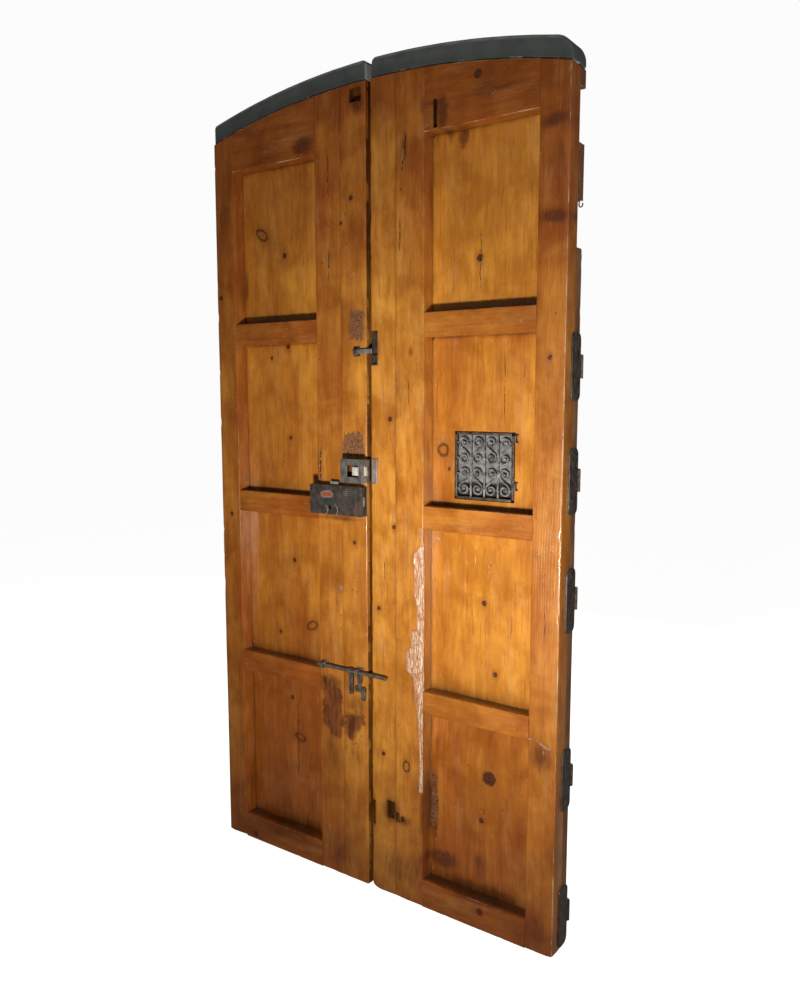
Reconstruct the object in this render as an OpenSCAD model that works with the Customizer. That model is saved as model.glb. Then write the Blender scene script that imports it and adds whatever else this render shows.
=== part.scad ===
// Arched double door: two panelled leaves under a shallow arch, boarded at the back,
// with their hinge plates, locks, slide bolt, catch and a small iron grille.
// +X runs across the door, -Y is the panelled front, +Z is up, and z = 0 is the foot of the leaves.

/* [Leaves] */
// Width of each leaf, from the hinge edge to the meeting edge at the back
leaf_w = 643; // [520:1:800]
// Height at the crown of the arch
door_h = 2508; // [2050:1:3050]
// Rise of the arch from the hinge edges to the crown
arch_rise = 82; // [50:1:120]
// Gap between the leaves at the back of the meeting edges
meeting_gap = 6; // [4:0.5:12]
// How far each meeting edge slopes away from its neighbour towards the front
meeting_slope = 9; // [9:0.5:16]
// The same for the left leaf, whose front edge stands closer to the middle
left_meeting_slope = 3; // [2:0.5:12]
// Thickness of the stiles and rails
frame_t = 58; // [48:1:72]
// Thickness of the boards across the back
board_t = 34; // [20:1:42]
// Boards across the back of each leaf
board_count = 4; // [2:1:6]
// Gap between neighbouring back boards
board_gap = 1; // [0.5:0.5:4]
// Radius worn off the foot of the right leaf at the meeting edge
worn_corner_r = 30; // [5:1:60]

/* [Stiles and rails] */
// Width of the stile that carries the hinges
hinge_stile_w = 86; // [72:1:110]
// Width of the meeting stile, which is glued up from two boards
meeting_stile_w = 200; // [160:1:240]
// Height of the foot of the top rail below the arch at the hinge edge
top_rail_drop = 101; // [70:1:125]
// Height of each middle rail
mid_rail_h = 70; // [60:1:85]
// Height of the bottom rail
bottom_rail_h = 89; // [70:1:120]
// Centre of the lower middle rail above the foot
lower_rail_z = 662; // [560:1:690]
// Centre of the second middle rail above the foot
second_rail_z = 1230; // [1200:1:1240]
// Centre of the upper middle rail above the foot
upper_rail_z = 1793; // [1550:1:1800]
// Length of the tenons on the rails
tenon_l = 55; // [30:1:60]
// Thickness of the tenons
tenon_t = 16; // [10:1:20]
// How far the tenons are shouldered at top and foot
tenon_shoulder = 12; // [5:1:20]

/* [Panels] */
// Thickness of the panels
panel_t = 12; // [8:1:16]
// How far the panels run under the frame on each side
panel_tongue = 12; // [8:1:18]
// Gap around the panels' hidden edges
panel_clear = 0.5; // [0.3:0.1:2]

/* [Top strip] */
// Height of the painted strip along the arch
strip_h = 58; // [20:1:90]
// How far the strip is set back from the front
strip_back = 6; // [0:1:30]
// Rounding of the left strip at its hinge end
left_strip_round = 14; // [5:1:20]
// Rounding of the right strip at its hinge end
right_strip_round = 57; // [21:1:120]
// Rounding of both strips where the leaves meet
inner_strip_round = 16; // [5:1:19]

/* [Hinges] */
// Heights of the hinge plates' centres above the foot
hinge_z = [100, 512, 1028, 1358, 1666];
// Height of a hinge plate
plate_h = 182; // [130:1:190]
// Thickness of a hinge plate
plate_t = 3; // [2:0.5:5]
// Width of a hinge plate on the door's edge
plate_w = 57; // [50:1:60]
// Corner radius of a hinge plate
plate_r = 20; // [8:1:24]
// Gap between the closed plates
plate_gap = 0.6; // [0.3:0.1:2]
// Radius of a hinge pin
pin_r = 4; // [3:0.5:5]
// Running clearance around a hinge pin
pin_clear = 0.05; // [0.03:0.01:0.08]
// Outer radius of a knuckle
knuckle_r = 7; // [6:0.5:10]
// Length of one knuckle
knuckle_l = 20; // [15:1:30]
// Gap between neighbouring knuckles
knuckle_gap = 0.5; // [0.3:0.1:1]
// Radius of a hinge screw and of its hole
screw_r = 2.5; // [1.5:0.5:3]
// Length of a hinge screw
screw_l = 22; // [12:1:24]
// Distance between the two columns of screws
screw_column = 29; // [20:1:32]
// Distance between the two rows of screws in a door plate
door_screw_row = 124; // [90:1:130]
// Distance between the two rows of screw holes in a wall plate
wall_screw_row = 84; // [72:1:88]

/* [Rim lock] */
// Width of the lock case
lock_w = 208; // [180:1:240]
// Height of the lock case
lock_h = 93; // [75:1:93]
// Depth of the lock case
lock_d = 28; // [22:1:36]
// Height of the lock's centre above the foot
lock_z = 1264; // [1240:1:1270]
// Thickness of the lock's sheet
sheet_t = 2.5; // [1.5:0.5:3]
// Distance from the meeting line to the lock's end
lock_from_middle = 5; // [3:1:20]
// Size of the lock bolt's face, across and up
lock_bolt_face = [10, 30];
// Throw of the lock bolt
lock_throw = 20; // [10:1:30]
// Clearance around the lock bolt and the latch bolt
bolt_clear = 0.5; // [0.3:0.1:1]
// Radius of the keyhole
keyhole_r = 5; // [3:0.5:7]
// Distance of the keyhole from the lock's left end
keyhole_in = 82; // [40:1:90]
// How far the keyhole is below the lock's centre
keyhole_low = 24; // [20:1:26]

/* [Latch] */
// Width of the latch case
latch_w = 84; // [70:1:84]
// Height of the latch case
latch_h = 74; // [66:1:90]
// Depth of the latch case
latch_d = 40; // [34:1:46]
// How far the latch case passes the meeting line
latch_over = 6; // [0:1:8]
// Width and height of the window in the latch case
latch_window = [46, 36];
// Throw of the latch bolt
latch_throw = 12; // [6:1:16]
// Width of the strike plate on the right leaf
strike_w = 22; // [16:1:30]
// Thickness of the strike plate
strike_t = 3; // [2:0.5:5]

/* [Slide bolt] */
// Height of the slide bolt above the foot
slide_z = 717; // [705:1:800]
// Radius of the bolt bar
slide_r = 6; // [5:0.5:8]
// Running clearance around the bolt bar
slide_clear = 0.06; // [0.03:0.01:0.09]
// Distance of the bar's centre from the door's face
slide_off = 16; // [14:1:22]
// End of the bar on the left leaf, from the meeting line
slide_left = 198; // [190:1:215]
// End of the bar on the right leaf, from the meeting line
slide_right = 80; // [60:1:84]
// Travel of the bar
slide_travel = 88; // [70:1:88]
// Centres of the two keepers, from the meeting line
keeper_x = [176, 34];
// Width of a keeper's base
keeper_w = 26; // [20:1:28]
// Place of the hasp on the bar, from the meeting line
hasp_x = 60; // [59:1:64]
// Length of the hasp below the bar
hasp_l = 76; // [50:1:110]

/* [Catch] */
// Height of the turning catch above the foot
catch_z = 1723; // [1715:1:1740]
// Distance of its pivot from the meeting line
catch_x = 40; // [34:1:60]
// Reach of the catch bar past its pivot
catch_reach = 61; // [50:1:70]
// Height of the catch bar
catch_bar_h = 14; // [10:1:18]
// Thickness of the catch bar
catch_bar_t = 4.5; // [3:0.5:6]
// Radius of the pivot stud
catch_stud_r = 4; // [3:0.5:5]

/* [Grille] */
// Width of the grille
grille_w = 193; // [150:1:210]
// Height of the grille
grille_h = 195; // [150:1:230]
// Height of the grille's centre above the foot
grille_z = 1388; // [1385:1:1500]
// Thickness of the grille's iron
grille_t = 8; // [4:1:8]
// Width of the grille's outer frame
grille_border = 8; // [6:1:12]
// Width of the grille's bars
grille_bar = 6; // [4:0.5:8]
// Cells along each side of the grille
grille_cells = 4; // [3:1:6]
// Gap around the grille in the panel
grille_clear = 2; // [1:0.5:4]
// Part of the opening's height that the backing sheet leaves bare
sheet_bare = 44; // [0:1:80]

/* [Hidden] */
$fn = 64;
eps = 0.01;
wood = [0.62, 0.33, 0.12];
wood_light = [0.74, 0.45, 0.16];
wood_red = [0.50, 0.22, 0.09];
paint_grey = [0.20, 0.22, 0.21];
iron_dark = [0.16, 0.14, 0.13];
iron_grey = [0.42, 0.43, 0.43];
steel = [0.62, 0.61, 0.57];
copper = [0.55, 0.32, 0.20];

total_t = frame_t + board_t;
half_gap = meeting_gap / 2;
hinge_x = half_gap + leaf_w;
stile_x = hinge_x - hinge_stile_w;
inner_x = half_gap + meeting_stile_w;
seam_x = half_gap + meeting_stile_w / 2;
arch_r = (hinge_x * hinge_x + arch_rise * arch_rise) / (2 * arch_rise);
arch_z = door_h - arch_r;
top_rail_z = door_h - arch_rise - top_rail_drop;
panel_y = frame_t - panel_t;
tenon_y = (frame_t - panel_t - tenon_t) / 2;
rail_z = [upper_rail_z, second_rail_z, lower_rail_z];

// Foot and head of each of the four openings, from the top one down
opening_foot = concat([for (z = rail_z) z + mid_rail_h / 2], [bottom_rail_h]);
opening_head = concat([top_rail_z], [for (z = rail_z) z - mid_rail_h / 2]);

plate_y = total_t - plate_w + 2;
pivot_x = hinge_x + plate_gap / 2;
pivot_y = total_t + knuckle_r + 1;
barrel_l = 3 * knuckle_l + 2 * knuckle_gap;
pin_head_h = 3;
screw_y = plate_y + plate_w / 2 - 1;

// The whole model is centred front to back on y = 0
front_reach = latch_d;
rear_reach = pivot_y + knuckle_r;
centre_y = (rear_reach - front_reach) / 2;

lock_x = -lock_from_middle - lock_w;
latch_x = latch_over - latch_w;
latch_z = lock_z + lock_h / 2 + 12;
latch_bolt_h = 30;
latch_bolt_d = 16;
slide_y = -slide_off;
catch_y = -3.5;
stud_head = 16;
notch_x = 14;
notch_foot = catch_z - 43;
notch_h = 103;
notch_w = 24;
notch_d = 10;
iron_hole = [158, 1722];
iron_hole_r = 14;
grille_x = (inner_x + stile_x) / 2;
grille_y = panel_y - 2;
cell_w = (grille_w - 2 * grille_border - (grille_cells - 1) * grille_bar) / grille_cells;
cell_h = (grille_h - 2 * grille_border - (grille_cells - 1) * grille_bar) / grille_cells;
grille_pivot_x = grille_x + grille_w / 2 + 6;
grille_pivot_y = panel_y - 5;
grille_knuckle_r = 4;
grille_knuckle_l = 16;
grille_pin_r = 2;
lug_z = [grille_z - 60, grille_z + 74];

// Old cut-outs in the back boards at the right hinge edge: foot and height
edge_cutouts = [[1975, 123], [2240, 140]];
edge_cutout_w = 22;

// Old pockets in the front of the meeting stiles: left, foot, width, height, depth
right_pockets = [[seam_x - 34, 257, 30, 58, 26], [seam_x - 2, 252, 18, 32, 10], [seam_x + 20, 256, 14, 20, 6],
    [inner_x + 32, top_rail_z + 6, 9, 74, 18]];
edge_pocket = [219, 82, 12, 30];
left_corner_pocket = [22, 44, 26];

// Mirrors a right-hand piece over to the left leaf
module on_side(side) {
    if (side < 0) mirror([1, 0, 0]) children();
    else children();
}

module placed() {
    translate([0, -centre_y, 0]) children();
}

// A rounded plate across X and Y, its lower left corner at the origin
module rounded_plate(w, h, t, r) {
    linear_extrude(t) union() {
        translate([r, 0]) square([w - 2 * r, h]);
        translate([0, r]) square([w, h - 2 * r]);
        for (x = [r, w - r], y = [r, h - r]) translate([x, y]) circle(r);
    }
}

// Everything under the arch
module under_arch() {
    translate([0, -eps, arch_z]) rotate([-90, 0, 0]) cylinder(h = total_t + 2 * eps, r = arch_r, $fn = 720);
}

// Distance of a meeting edge from the middle at a given depth
function meeting_x(y, side = 1) =
    half_gap + (side > 0 ? meeting_slope : left_meeting_slope) * (1 - y / total_t);

// Full-height timber between two depths and two distances from the middle
module upright(x0, x1, y0, y1) {
    intersection() {
        translate([x0, y0, 0]) cube([x1 - x0, y1 - y0, door_h]);
        under_arch();
    }
}

// Full-height timber whose near side follows the sloping meeting edge
module meeting_upright(x1, y0, y1, side = 1) {
    intersection() {
        linear_extrude(door_h) polygon([
            [meeting_x(y0, side), y0], [x1, y0], [x1, y1], [meeting_x(y1, side), y1]]);
        under_arch();
    }
}

// The seats that hold the four panels from behind
module panel_seats() {
    for (i = [0:3])
        translate([inner_x - panel_tongue, panel_y, opening_foot[i] - panel_tongue])
            cube([stile_x - inner_x + 2 * panel_tongue, panel_t + eps,
                opening_head[i] - opening_foot[i] + 2 * panel_tongue]);
}

// Tenons of one rail, between its foot and its head
module tenons(foot, head) {
    translate([inner_x - tenon_l, tenon_y, foot + tenon_shoulder])
        cube([stile_x - inner_x + 2 * tenon_l, tenon_t, head - foot - 2 * tenon_shoulder]);
}

module all_tenons() {
    tenons(top_rail_z, top_rail_z + top_rail_drop);
    for (z = rail_z) tenons(z - mid_rail_h / 2, z + mid_rail_h / 2);
    tenons(0, bottom_rail_h);
}

module hinge_stile(side) {
    color(wood_red) placed() on_side(side) difference() {
        upright(stile_x, hinge_x, 0, frame_t);
        panel_seats();
        all_tenons();
        plate_seats();
        door_screws();
    }
}

module stile_board_inner(side) {
    color(wood) placed() on_side(side) difference() {
        upright(seam_x, inner_x, 0, frame_t);
        panel_seats();
        all_tenons();
        if (side > 0) right_stile_cuts();
    }
}

module stile_board_outer(side) {
    color(wood_light) placed() on_side(side) difference() {
        meeting_upright(seam_x, 0, frame_t, side);
        if (side > 0) right_stile_cuts();
        else left_corner_cut();
    }
}

module right_stile_cuts() {
    for (p = right_pockets) translate([p[0], -eps, p[1]]) cube([p[2], p[4], p[3]]);
    translate([0, -eps, edge_pocket[0]]) cube([meeting_x(0) + edge_pocket[2], edge_pocket[3], edge_pocket[1]]);
    translate([0, -eps, notch_foot]) cube([notch_x + notch_w, notch_d, notch_h]);
    translate([iron_hole[0], -eps, iron_hole[1]]) rotate([-90, 0, 0]) cylinder(h = 24, r = iron_hole_r);
    worn_corner();
}

// The dark pocket under the arch at the left leaf's meeting corner
module left_corner_cut() {
    translate([left_corner_pocket[0], -eps, door_h - left_corner_pocket[1] - 12])
        cube([left_corner_pocket[1], left_corner_pocket[2], left_corner_pocket[1] - 4]);
}

module worn_corner() {
    translate([0, -eps, 0]) difference() {
        cube([meeting_x(0) + worn_corner_r, total_t + 2 * eps, worn_corner_r]);
        translate([meeting_x(0) + worn_corner_r, -eps, worn_corner_r]) rotate([-90, 0, 0])
            cylinder(h = total_t + 4 * eps, r = worn_corner_r);
    }
}

module top_rail(side) {
    color(wood_red) placed() on_side(side) difference() {
        union() {
            intersection() {
                translate([inner_x, 0, top_rail_z]) cube([stile_x - inner_x, frame_t, door_h - top_rail_z]);
                under_arch();
            }
            tenons(top_rail_z, top_rail_z + top_rail_drop);
        }
        panel_seats();
        if (side > 0) right_stile_cuts();
    }
}

module rail(side, foot, head) {
    color(wood) placed() on_side(side) difference() {
        union() {
            translate([inner_x, 0, foot]) cube([stile_x - inner_x, frame_t, head - foot]);
            tenons(foot, head);
        }
        panel_seats();
    }
}

module mid_rail(side, index) {
    rail(side, rail_z[index] - mid_rail_h / 2, rail_z[index] + mid_rail_h / 2);
}

// Panel number 0 is the top one
module panel(side, index) {
    reach = panel_tongue - panel_clear;
    color(wood_light) placed() on_side(side) difference() {
        translate([inner_x - reach, panel_y, opening_foot[index] - reach])
            cube([stile_x - inner_x + 2 * reach, panel_t,
                opening_head[index] - opening_foot[index] + 2 * reach]);
        if (side > 0 && index == 1) grille_opening();
    }
}

module grille_opening() {
    translate([grille_x - grille_w / 2 - grille_clear, panel_y - eps, grille_z - grille_h / 2 - grille_clear])
        cube([grille_w + 2 * grille_clear, panel_t + 2 * eps, grille_h + 2 * grille_clear]);
}

// Vertical boards over the back of one leaf
module back_boards(side) {
    pitch = leaf_w / board_count;
    color(wood_red) placed() on_side(side) difference() {
        union() for (i = [0:board_count - 1]) {
            x0 = half_gap + i * pitch + (i > 0 ? board_gap / 2 : 0);
            x1 = half_gap + (i + 1) * pitch - (i < board_count - 1 ? board_gap / 2 : 0);
            if (i == 0) meeting_upright(x1, frame_t, total_t, side);
            else upright(x0, x1, frame_t, total_t);
        }
        plate_seats();
        door_screws();
        if (side > 0) worn_corner();
        if (side > 0) for (c = edge_cutouts)
            translate([hinge_x - edge_cutout_w, frame_t - eps, c[0]])
                cube([edge_cutout_w + eps, board_t + 2 * eps, c[1]]);
    }
}

// What is trimmed off one end of the top strip to round it
module strip_end(x, r, way) {
    outer_r = arch_r + strip_h;
    cx = x - way * r;
    cz = arch_z + sqrt(pow(outer_r - r, 2) - cx * cx);
    touch_x = cx * outer_r / (outer_r - r);
    difference() {
        translate([way > 0 ? touch_x : x - eps, cz]) square([abs(x - touch_x) + eps, r + strip_h]);
        translate([cx, cz]) circle(r, $fn = 128);
    }
}

module top_strip(side) {
    outer_r = arch_r + strip_h;
    end_r = side > 0 ? right_strip_round : left_strip_round;
    color(paint_grey) placed() on_side(side) translate([0, total_t, 0]) rotate([90, 0, 0])
        linear_extrude(total_t - strip_back) difference() {
            intersection() {
                translate([0, arch_z]) circle(outer_r, $fn = 720);
                translate([meeting_x(0, side), top_rail_z]) square([hinge_x - meeting_x(0, side), door_h]);
            }
            translate([0, arch_z]) circle(arch_r, $fn = 720);
            strip_end(hinge_x, end_r, 1);
            strip_end(meeting_x(0, side), inner_strip_round, -1);
        }
}

// A plate standing in the plane of the hinge edge, from x0 inwards by its thickness
module edge_plate(x0, z) {
    translate([x0, plate_y, z - plate_h / 2]) rotate([90, 0, 90]) rounded_plate(plate_w - 2, plate_h, plate_t, plate_r);
}

module plate_seats() {
    for (z = hinge_z) edge_plate(hinge_x - plate_t, z);
}

// Screw places on one plate
module screw_places(z, row) {
    for (y = [-0.5, 0.5], k = [-0.5, 0.5])
        translate([0, screw_y + y * screw_column, z + k * row]) children();
}

module door_screws() {
    for (z = hinge_z) screw_places(z, door_screw_row)
        translate([hinge_x - screw_l, 0, 0]) rotate([0, 90, 0]) {
            cylinder(h = screw_l - plate_t + 0.5, r = screw_r);
            translate([0, 0, screw_l - plate_t + 0.5]) cylinder(h = plate_t - 0.7, r = 2 * screw_r);
        }
}

module door_hinge_plates(side) {
    color(iron_dark) placed() on_side(side) difference() {
        for (z = hinge_z) {
            edge_plate(hinge_x - plate_t, z);
            translate([hinge_x - plate_t, total_t - plate_r, z - knuckle_l / 2])
                cube([plate_t, pivot_y - total_t + plate_r, knuckle_l]);
            translate([pivot_x, pivot_y, z - knuckle_l / 2]) cylinder(h = knuckle_l, r = knuckle_r);
        }
        for (z = hinge_z) translate([pivot_x, pivot_y, z - knuckle_l])
            cylinder(h = 2 * knuckle_l, r = pin_r + pin_clear);
        door_screws();
    }
}

module hinge_screws(side) {
    color(steel) placed() on_side(side) door_screws();
}

module wall_knuckles(z) {
    for (k = [-1, 1]) translate([0, 0, z + k * (knuckle_l + knuckle_gap) - knuckle_l / 2]) children();
}

module wall_hinge_plates(side) {
    x0 = hinge_x + plate_gap;
    color(iron_dark) placed() on_side(side) difference() {
        for (z = hinge_z) {
            edge_plate(x0, z);
            wall_knuckles(z) {
                translate([x0, total_t - plate_r, 0]) cube([plate_t, pivot_y - total_t + plate_r, knuckle_l]);
                translate([pivot_x, pivot_y, 0]) cylinder(h = knuckle_l, r = knuckle_r);
            }
        }
        for (z = hinge_z) {
            translate([pivot_x, pivot_y, z - barrel_l]) cylinder(h = 2 * barrel_l, r = pin_r);
            screw_places(z, wall_screw_row) translate([hinge_x, 0, 0]) rotate([0, 90, 0])
                cylinder(h = 2 * plate_t + plate_gap, r = screw_r);
        }
    }
}

module hinge_pins(side) {
    color(iron_dark) placed() on_side(side) for (z = hinge_z)
        translate([pivot_x, pivot_y, z - barrel_l / 2]) {
            cylinder(h = barrel_l, r = pin_r);
            translate([0, 0, barrel_l]) cylinder(h = pin_head_h, r = knuckle_r - 1);
        }
}

// A folded sheet case whose open back faces the door
module case_shell(w, h, d) {
    difference() {
        translate([0, -d, 0]) cube([w, d, h]);
        translate([sheet_t, -d + sheet_t, sheet_t]) cube([w - 2 * sheet_t, d, h - 2 * sheet_t]);
    }
}

module lock_case() {
    bolt_y = -lock_d / 2 - lock_bolt_face[0] / 2;
    color(iron_dark) placed() difference() {
        union() {
            translate([lock_x, -2, lock_z - lock_h / 2]) case_shell(lock_w, lock_h, lock_d - 2);
            translate([lock_x + 76, -18, lock_z + lock_h / 2]) cube([32, 3, 11]);
        }
        translate([lock_x + keyhole_in, -lock_d - eps, lock_z - keyhole_low]) rotate([-90, 0, 0])
            cylinder(h = sheet_t + 1, r = keyhole_r);
        translate([lock_x + keyhole_in - 2, -lock_d - eps, lock_z - keyhole_low - 14]) cube([4, sheet_t + 1, 12]);
        translate([lock_x + lock_w - 2 * sheet_t, bolt_y - bolt_clear, lock_z - lock_bolt_face[1] / 2 - bolt_clear])
            cube([3 * sheet_t, lock_bolt_face[0] + 2 * bolt_clear, lock_bolt_face[1] + 2 * bolt_clear]);
    }
}

module lock_back_plate() {
    color(iron_dark) placed() translate([lock_x, -2, lock_z - lock_h / 2]) cube([lock_w, 2, lock_h]);
}

module lock_bolt() {
    bolt_y = -lock_d / 2 - lock_bolt_face[0] / 2;
    color(steel) placed() difference() {
        translate([lock_x + 60 + sheet_t, bolt_y, lock_z - lock_bolt_face[1] / 2])
            cube([lock_w - 60 - sheet_t, lock_bolt_face[0], lock_bolt_face[1]]);
        translate([lock_x + keyhole_in + 24, bolt_y - eps, lock_z - lock_bolt_face[1] / 2 - eps])
            cube([16, lock_bolt_face[0] + 2 * eps, 10]);
    }
}

module latch_case() {
    window_x = latch_x + latch_w - latch_window[0] - 12;
    color(steel) placed() difference() {
        translate([latch_x, 0, latch_z]) case_shell(latch_w, latch_h, latch_d);
        translate([window_x, -latch_d - eps, latch_z + (latch_h - latch_window[1]) / 2])
            cube([latch_window[0], sheet_t + 1, latch_window[1]]);
        translate([latch_over - 2 * sheet_t, -latch_d / 2 - latch_bolt_d / 2 - bolt_clear,
                latch_z + (latch_h - latch_bolt_h) / 2 - bolt_clear])
            cube([3 * sheet_t, latch_bolt_d + 2 * bolt_clear, latch_bolt_h + 2 * bolt_clear]);
    }
}

module latch_bolt() {
    foot = latch_z + (latch_h - latch_bolt_h) / 2;
    color(steel) placed() union() {
        translate([latch_over - 46, -latch_d / 2 - latch_bolt_d / 2, foot]) cube([46, latch_bolt_d, latch_bolt_h]);
        translate([latch_over - 40, -latch_d + sheet_t + 0.5, foot + 2])
            cube([20, latch_d / 2 - sheet_t, latch_bolt_h - 4]);
    }
}

module latch_strike() {
    color(copper) placed() union() {
        translate([meeting_x(0) + 4, -strike_t, latch_z - 2]) cube([strike_w, strike_t, latch_h + 4]);
        translate([meeting_x(0) + 4 + strike_w - 4, -strike_t - 3, latch_z - 2]) cube([4, 3 + eps, latch_h + 4]);
    }
}

module slide_bolt_bar() {
    color(iron_dark) placed() translate([-slide_left, slide_y, slide_z]) rotate([0, 90, 0]) {
        cylinder(h = slide_left + slide_right - 3, r = slide_r);
        translate([0, 0, slide_left + slide_right - 3]) cylinder(h = 3, r1 = slide_r, r2 = slide_r - 2);
    }
}

module bolt_keepers() {
    color(iron_dark) placed() for (x = keeper_x) translate([-x, 0, slide_z]) difference() {
        union() {
            translate([-keeper_w / 2, -3, -13]) cube([keeper_w, 3, 26]);
            translate([-6, -slide_off - slide_r - 4, -slide_r - 4])
                cube([12, slide_off + slide_r + 4 - eps, 2 * slide_r + 8]);
        }
        translate([-keeper_w, slide_y, 0]) rotate([0, 90, 0]) cylinder(h = 2 * keeper_w, r = slide_r + slide_clear);
    }
}

module bolt_hasp() {
    hasp_w = 15;
    color(iron_dark) placed() translate([-hasp_x, slide_y, slide_z]) difference() {
        union() {
            translate([-hasp_w / 2, 0, 0]) rotate([0, 90, 0]) cylinder(h = hasp_w, r = slide_r + 4);
            translate([-hasp_w / 2, -3, -hasp_l]) cube([hasp_w, 5, hasp_l]);
        }
        translate([-hasp_w, 0, 0]) rotate([0, 90, 0]) cylinder(h = 2 * hasp_w, r = slide_r + slide_clear);
        translate([-3, -10, -hasp_l + 12]) cube([6, 20, 22]);
    }
}

module hasp_staple() {
    color(iron_dark) placed() union() {
        translate([-44, -6, slide_z - 35]) cube([20, 6, 20]);
        translate([-50, -10, slide_z - 67]) cube([40, 10, 18]);
        translate([-40, -8, slide_z - 52]) cube([12, 8, 20]);
        translate([-30, -6, slide_z - 94]) cube([18, 6, 30]);
    }
}

module catch_plate() {
    color(iron_dark) placed() translate([-catch_x, 0, catch_z]) union() {
        translate([-12, -3, -15]) cube([24, 3, 30]);
        rotate([90, 0, 0]) cylinder(h = -catch_y + catch_bar_t + 1.5, r = catch_stud_r);
        translate([-stud_head / 2, catch_y - catch_bar_t - 5, -stud_head / 2]) cube([stud_head, 4, stud_head]);
        translate([10, 0, -catch_bar_h / 2 - 3]) rotate([90, 0, 0]) cylinder(h = 9, r = 2.5);
    }
}

module catch_bar() {
    color(steel) placed() translate([-catch_x, catch_y, catch_z]) rotate([90, 0, 0]) difference() {
        union() {
            cylinder(h = catch_bar_t, r = catch_stud_r + 6);
            translate([0, -catch_bar_h / 2, 0]) cube([catch_reach, catch_bar_h, catch_bar_t]);
        }
        translate([0, 0, -1]) cylinder(h = catch_bar_t + 2, r = catch_stud_r + slide_clear);
    }
}

module catch_socket() {
    color(iron_dark) placed() difference() {
        union() {
            translate([notch_x, -2, notch_foot]) cube([notch_w - 0.5, notch_d + 1.9, 31]);
            translate([notch_x, notch_d - 3, notch_foot + 20]) cube([notch_w - 0.5, 2.9, notch_h - 21]);
        }
        translate([notch_x + 5, -3, notch_foot + 6]) cube([13, 9, 16]);
    }
}

module keyhole_iron() {
    color(iron_dark) placed() translate([iron_hole[0], 4, iron_hole[1]]) rotate([-90, 0, 0]) difference() {
        cylinder(h = 19, r = iron_hole_r);
        translate([0, 0, -1]) cylinder(h = 15, r = iron_hole_r / 2);
    }
}

// A nail bent over under the block between the two old cut-outs
module bent_nail() {
    nail_r = 1.8;
    bend_r = 5;
    color(iron_dark) placed() translate([hinge_x - 2 - bend_r, total_t - 12, edge_cutouts[0][0] + edge_cutouts[0][1]]) {
        translate([0, 0, -12]) cylinder(h = 12, r = nail_r);
        translate([bend_r, 0, -12]) rotate([90, 0, 0]) rotate([0, 0, 180]) rotate_extrude(angle = 180)
            translate([bend_r, 0]) circle(nail_r, $fn = 24);
        translate([2 * bend_r, 0, -12]) cylinder(h = 5, r = nail_r);
    }
}

module grille() {
    x0 = -grille_w / 2;
    z0 = -grille_h / 2;
    color(iron_grey) placed() difference() {
        union() {
            translate([grille_x, grille_y, grille_z]) {
                difference() {
                    translate([x0, 0, z0]) cube([grille_w, grille_t, grille_h]);
                    translate([x0 + grille_border, -eps, z0 + grille_border])
                        cube([grille_w - 2 * grille_border, grille_t + 1, grille_h - 2 * grille_border]);
                }
                for (i = [1:grille_cells - 1])
                    translate([x0 + grille_border + i * (cell_w + grille_bar) - grille_bar, 1, z0 + 1])
                        cube([grille_bar, grille_t - 2, grille_h - 2]);
                for (i = [0:grille_cells - 1], j = [0:grille_cells - 1])
                    translate([x0 + grille_border + cell_w / 2 + i * (cell_w + grille_bar), 2,
                            z0 + grille_border + cell_h / 2 + j * (cell_h + grille_bar)])
                        grille_ring();
            }
            for (z = lug_z) translate([grille_pivot_x, 0, z]) {
                translate([0, grille_pivot_y, 0]) cylinder(h = grille_knuckle_l, r = grille_knuckle_r);
                translate([-12, grille_pivot_y, 0]) cube([12, 3, grille_knuckle_l]);
                translate([-12, grille_pivot_y, 0]) cube([5, 5, grille_knuckle_l]);
            }
        }
        for (z = lug_z) translate([grille_pivot_x, grille_pivot_y, z - 1])
            cylinder(h = grille_knuckle_l + 2, r = grille_pin_r + pin_clear);
    }
}

// One scroll of the grille, as a flat ring that reaches the bars at its sides
module grille_ring() {
    outer_r = max(cell_w, cell_h) / 2 + 0.6;
    rotate([-90, 0, 0]) difference() {
        cylinder(h = grille_t - 4, r = outer_r, $fn = 48);
        translate([0, 0, -1]) cylinder(h = grille_t, r = outer_r - 4, $fn = 48);
    }
}

module grille_pintles() {
    ear = 4;
    color(iron_dark) placed() for (z = lug_z) translate([grille_pivot_x, grille_pivot_y, z]) {
        translate([0, 0, -ear]) cylinder(h = grille_knuckle_l + 2 * ear, r = grille_pin_r);
        for (k = [-ear - 0.3, grille_knuckle_l + 0.3])
            translate([-3, 0, k]) cube([10, panel_y - grille_pivot_y, ear]);
    }
}

module grille_backing() {
    sheet = 1.5;
    color(iron_grey) placed()
        translate([grille_x - grille_w / 2 - 1, frame_t - sheet, grille_z - grille_h / 2 + sheet_bare])
            cube([grille_w + 2, sheet, grille_h - sheet_bare + 1]);
}

wall_hinge_plates(-1);  // wall_hinge_plates_left
wall_hinge_plates(1);  // wall_hinge_plates_right
hinge_pins(-1);  // hinge_pins_left
hinge_pins(1);  // hinge_pins_right
hinge_stile(-1);  // left_hinge_stile
stile_board_inner(-1);  // left_stile_board_inner
stile_board_outer(-1);  // left_stile_board_outer
top_rail(-1);  // left_top_rail
mid_rail(-1, 0);  // left_upper_rail
mid_rail(-1, 1);  // left_second_rail
mid_rail(-1, 2);  // left_lower_rail
rail(-1, 0, bottom_rail_h);  // left_bottom_rail
panel(-1, 0);  // left_panel_1
panel(-1, 1);  // left_panel_2
panel(-1, 2);  // left_panel_3
panel(-1, 3);  // left_panel_4
back_boards(-1);  // left_back_boards
top_strip(-1);  // left_top_strip
door_hinge_plates(-1);  // left_door_hinge_plates
hinge_screws(-1);  // left_hinge_screws
hinge_stile(1);  // right_hinge_stile
stile_board_inner(1);  // right_stile_board_inner
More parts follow.
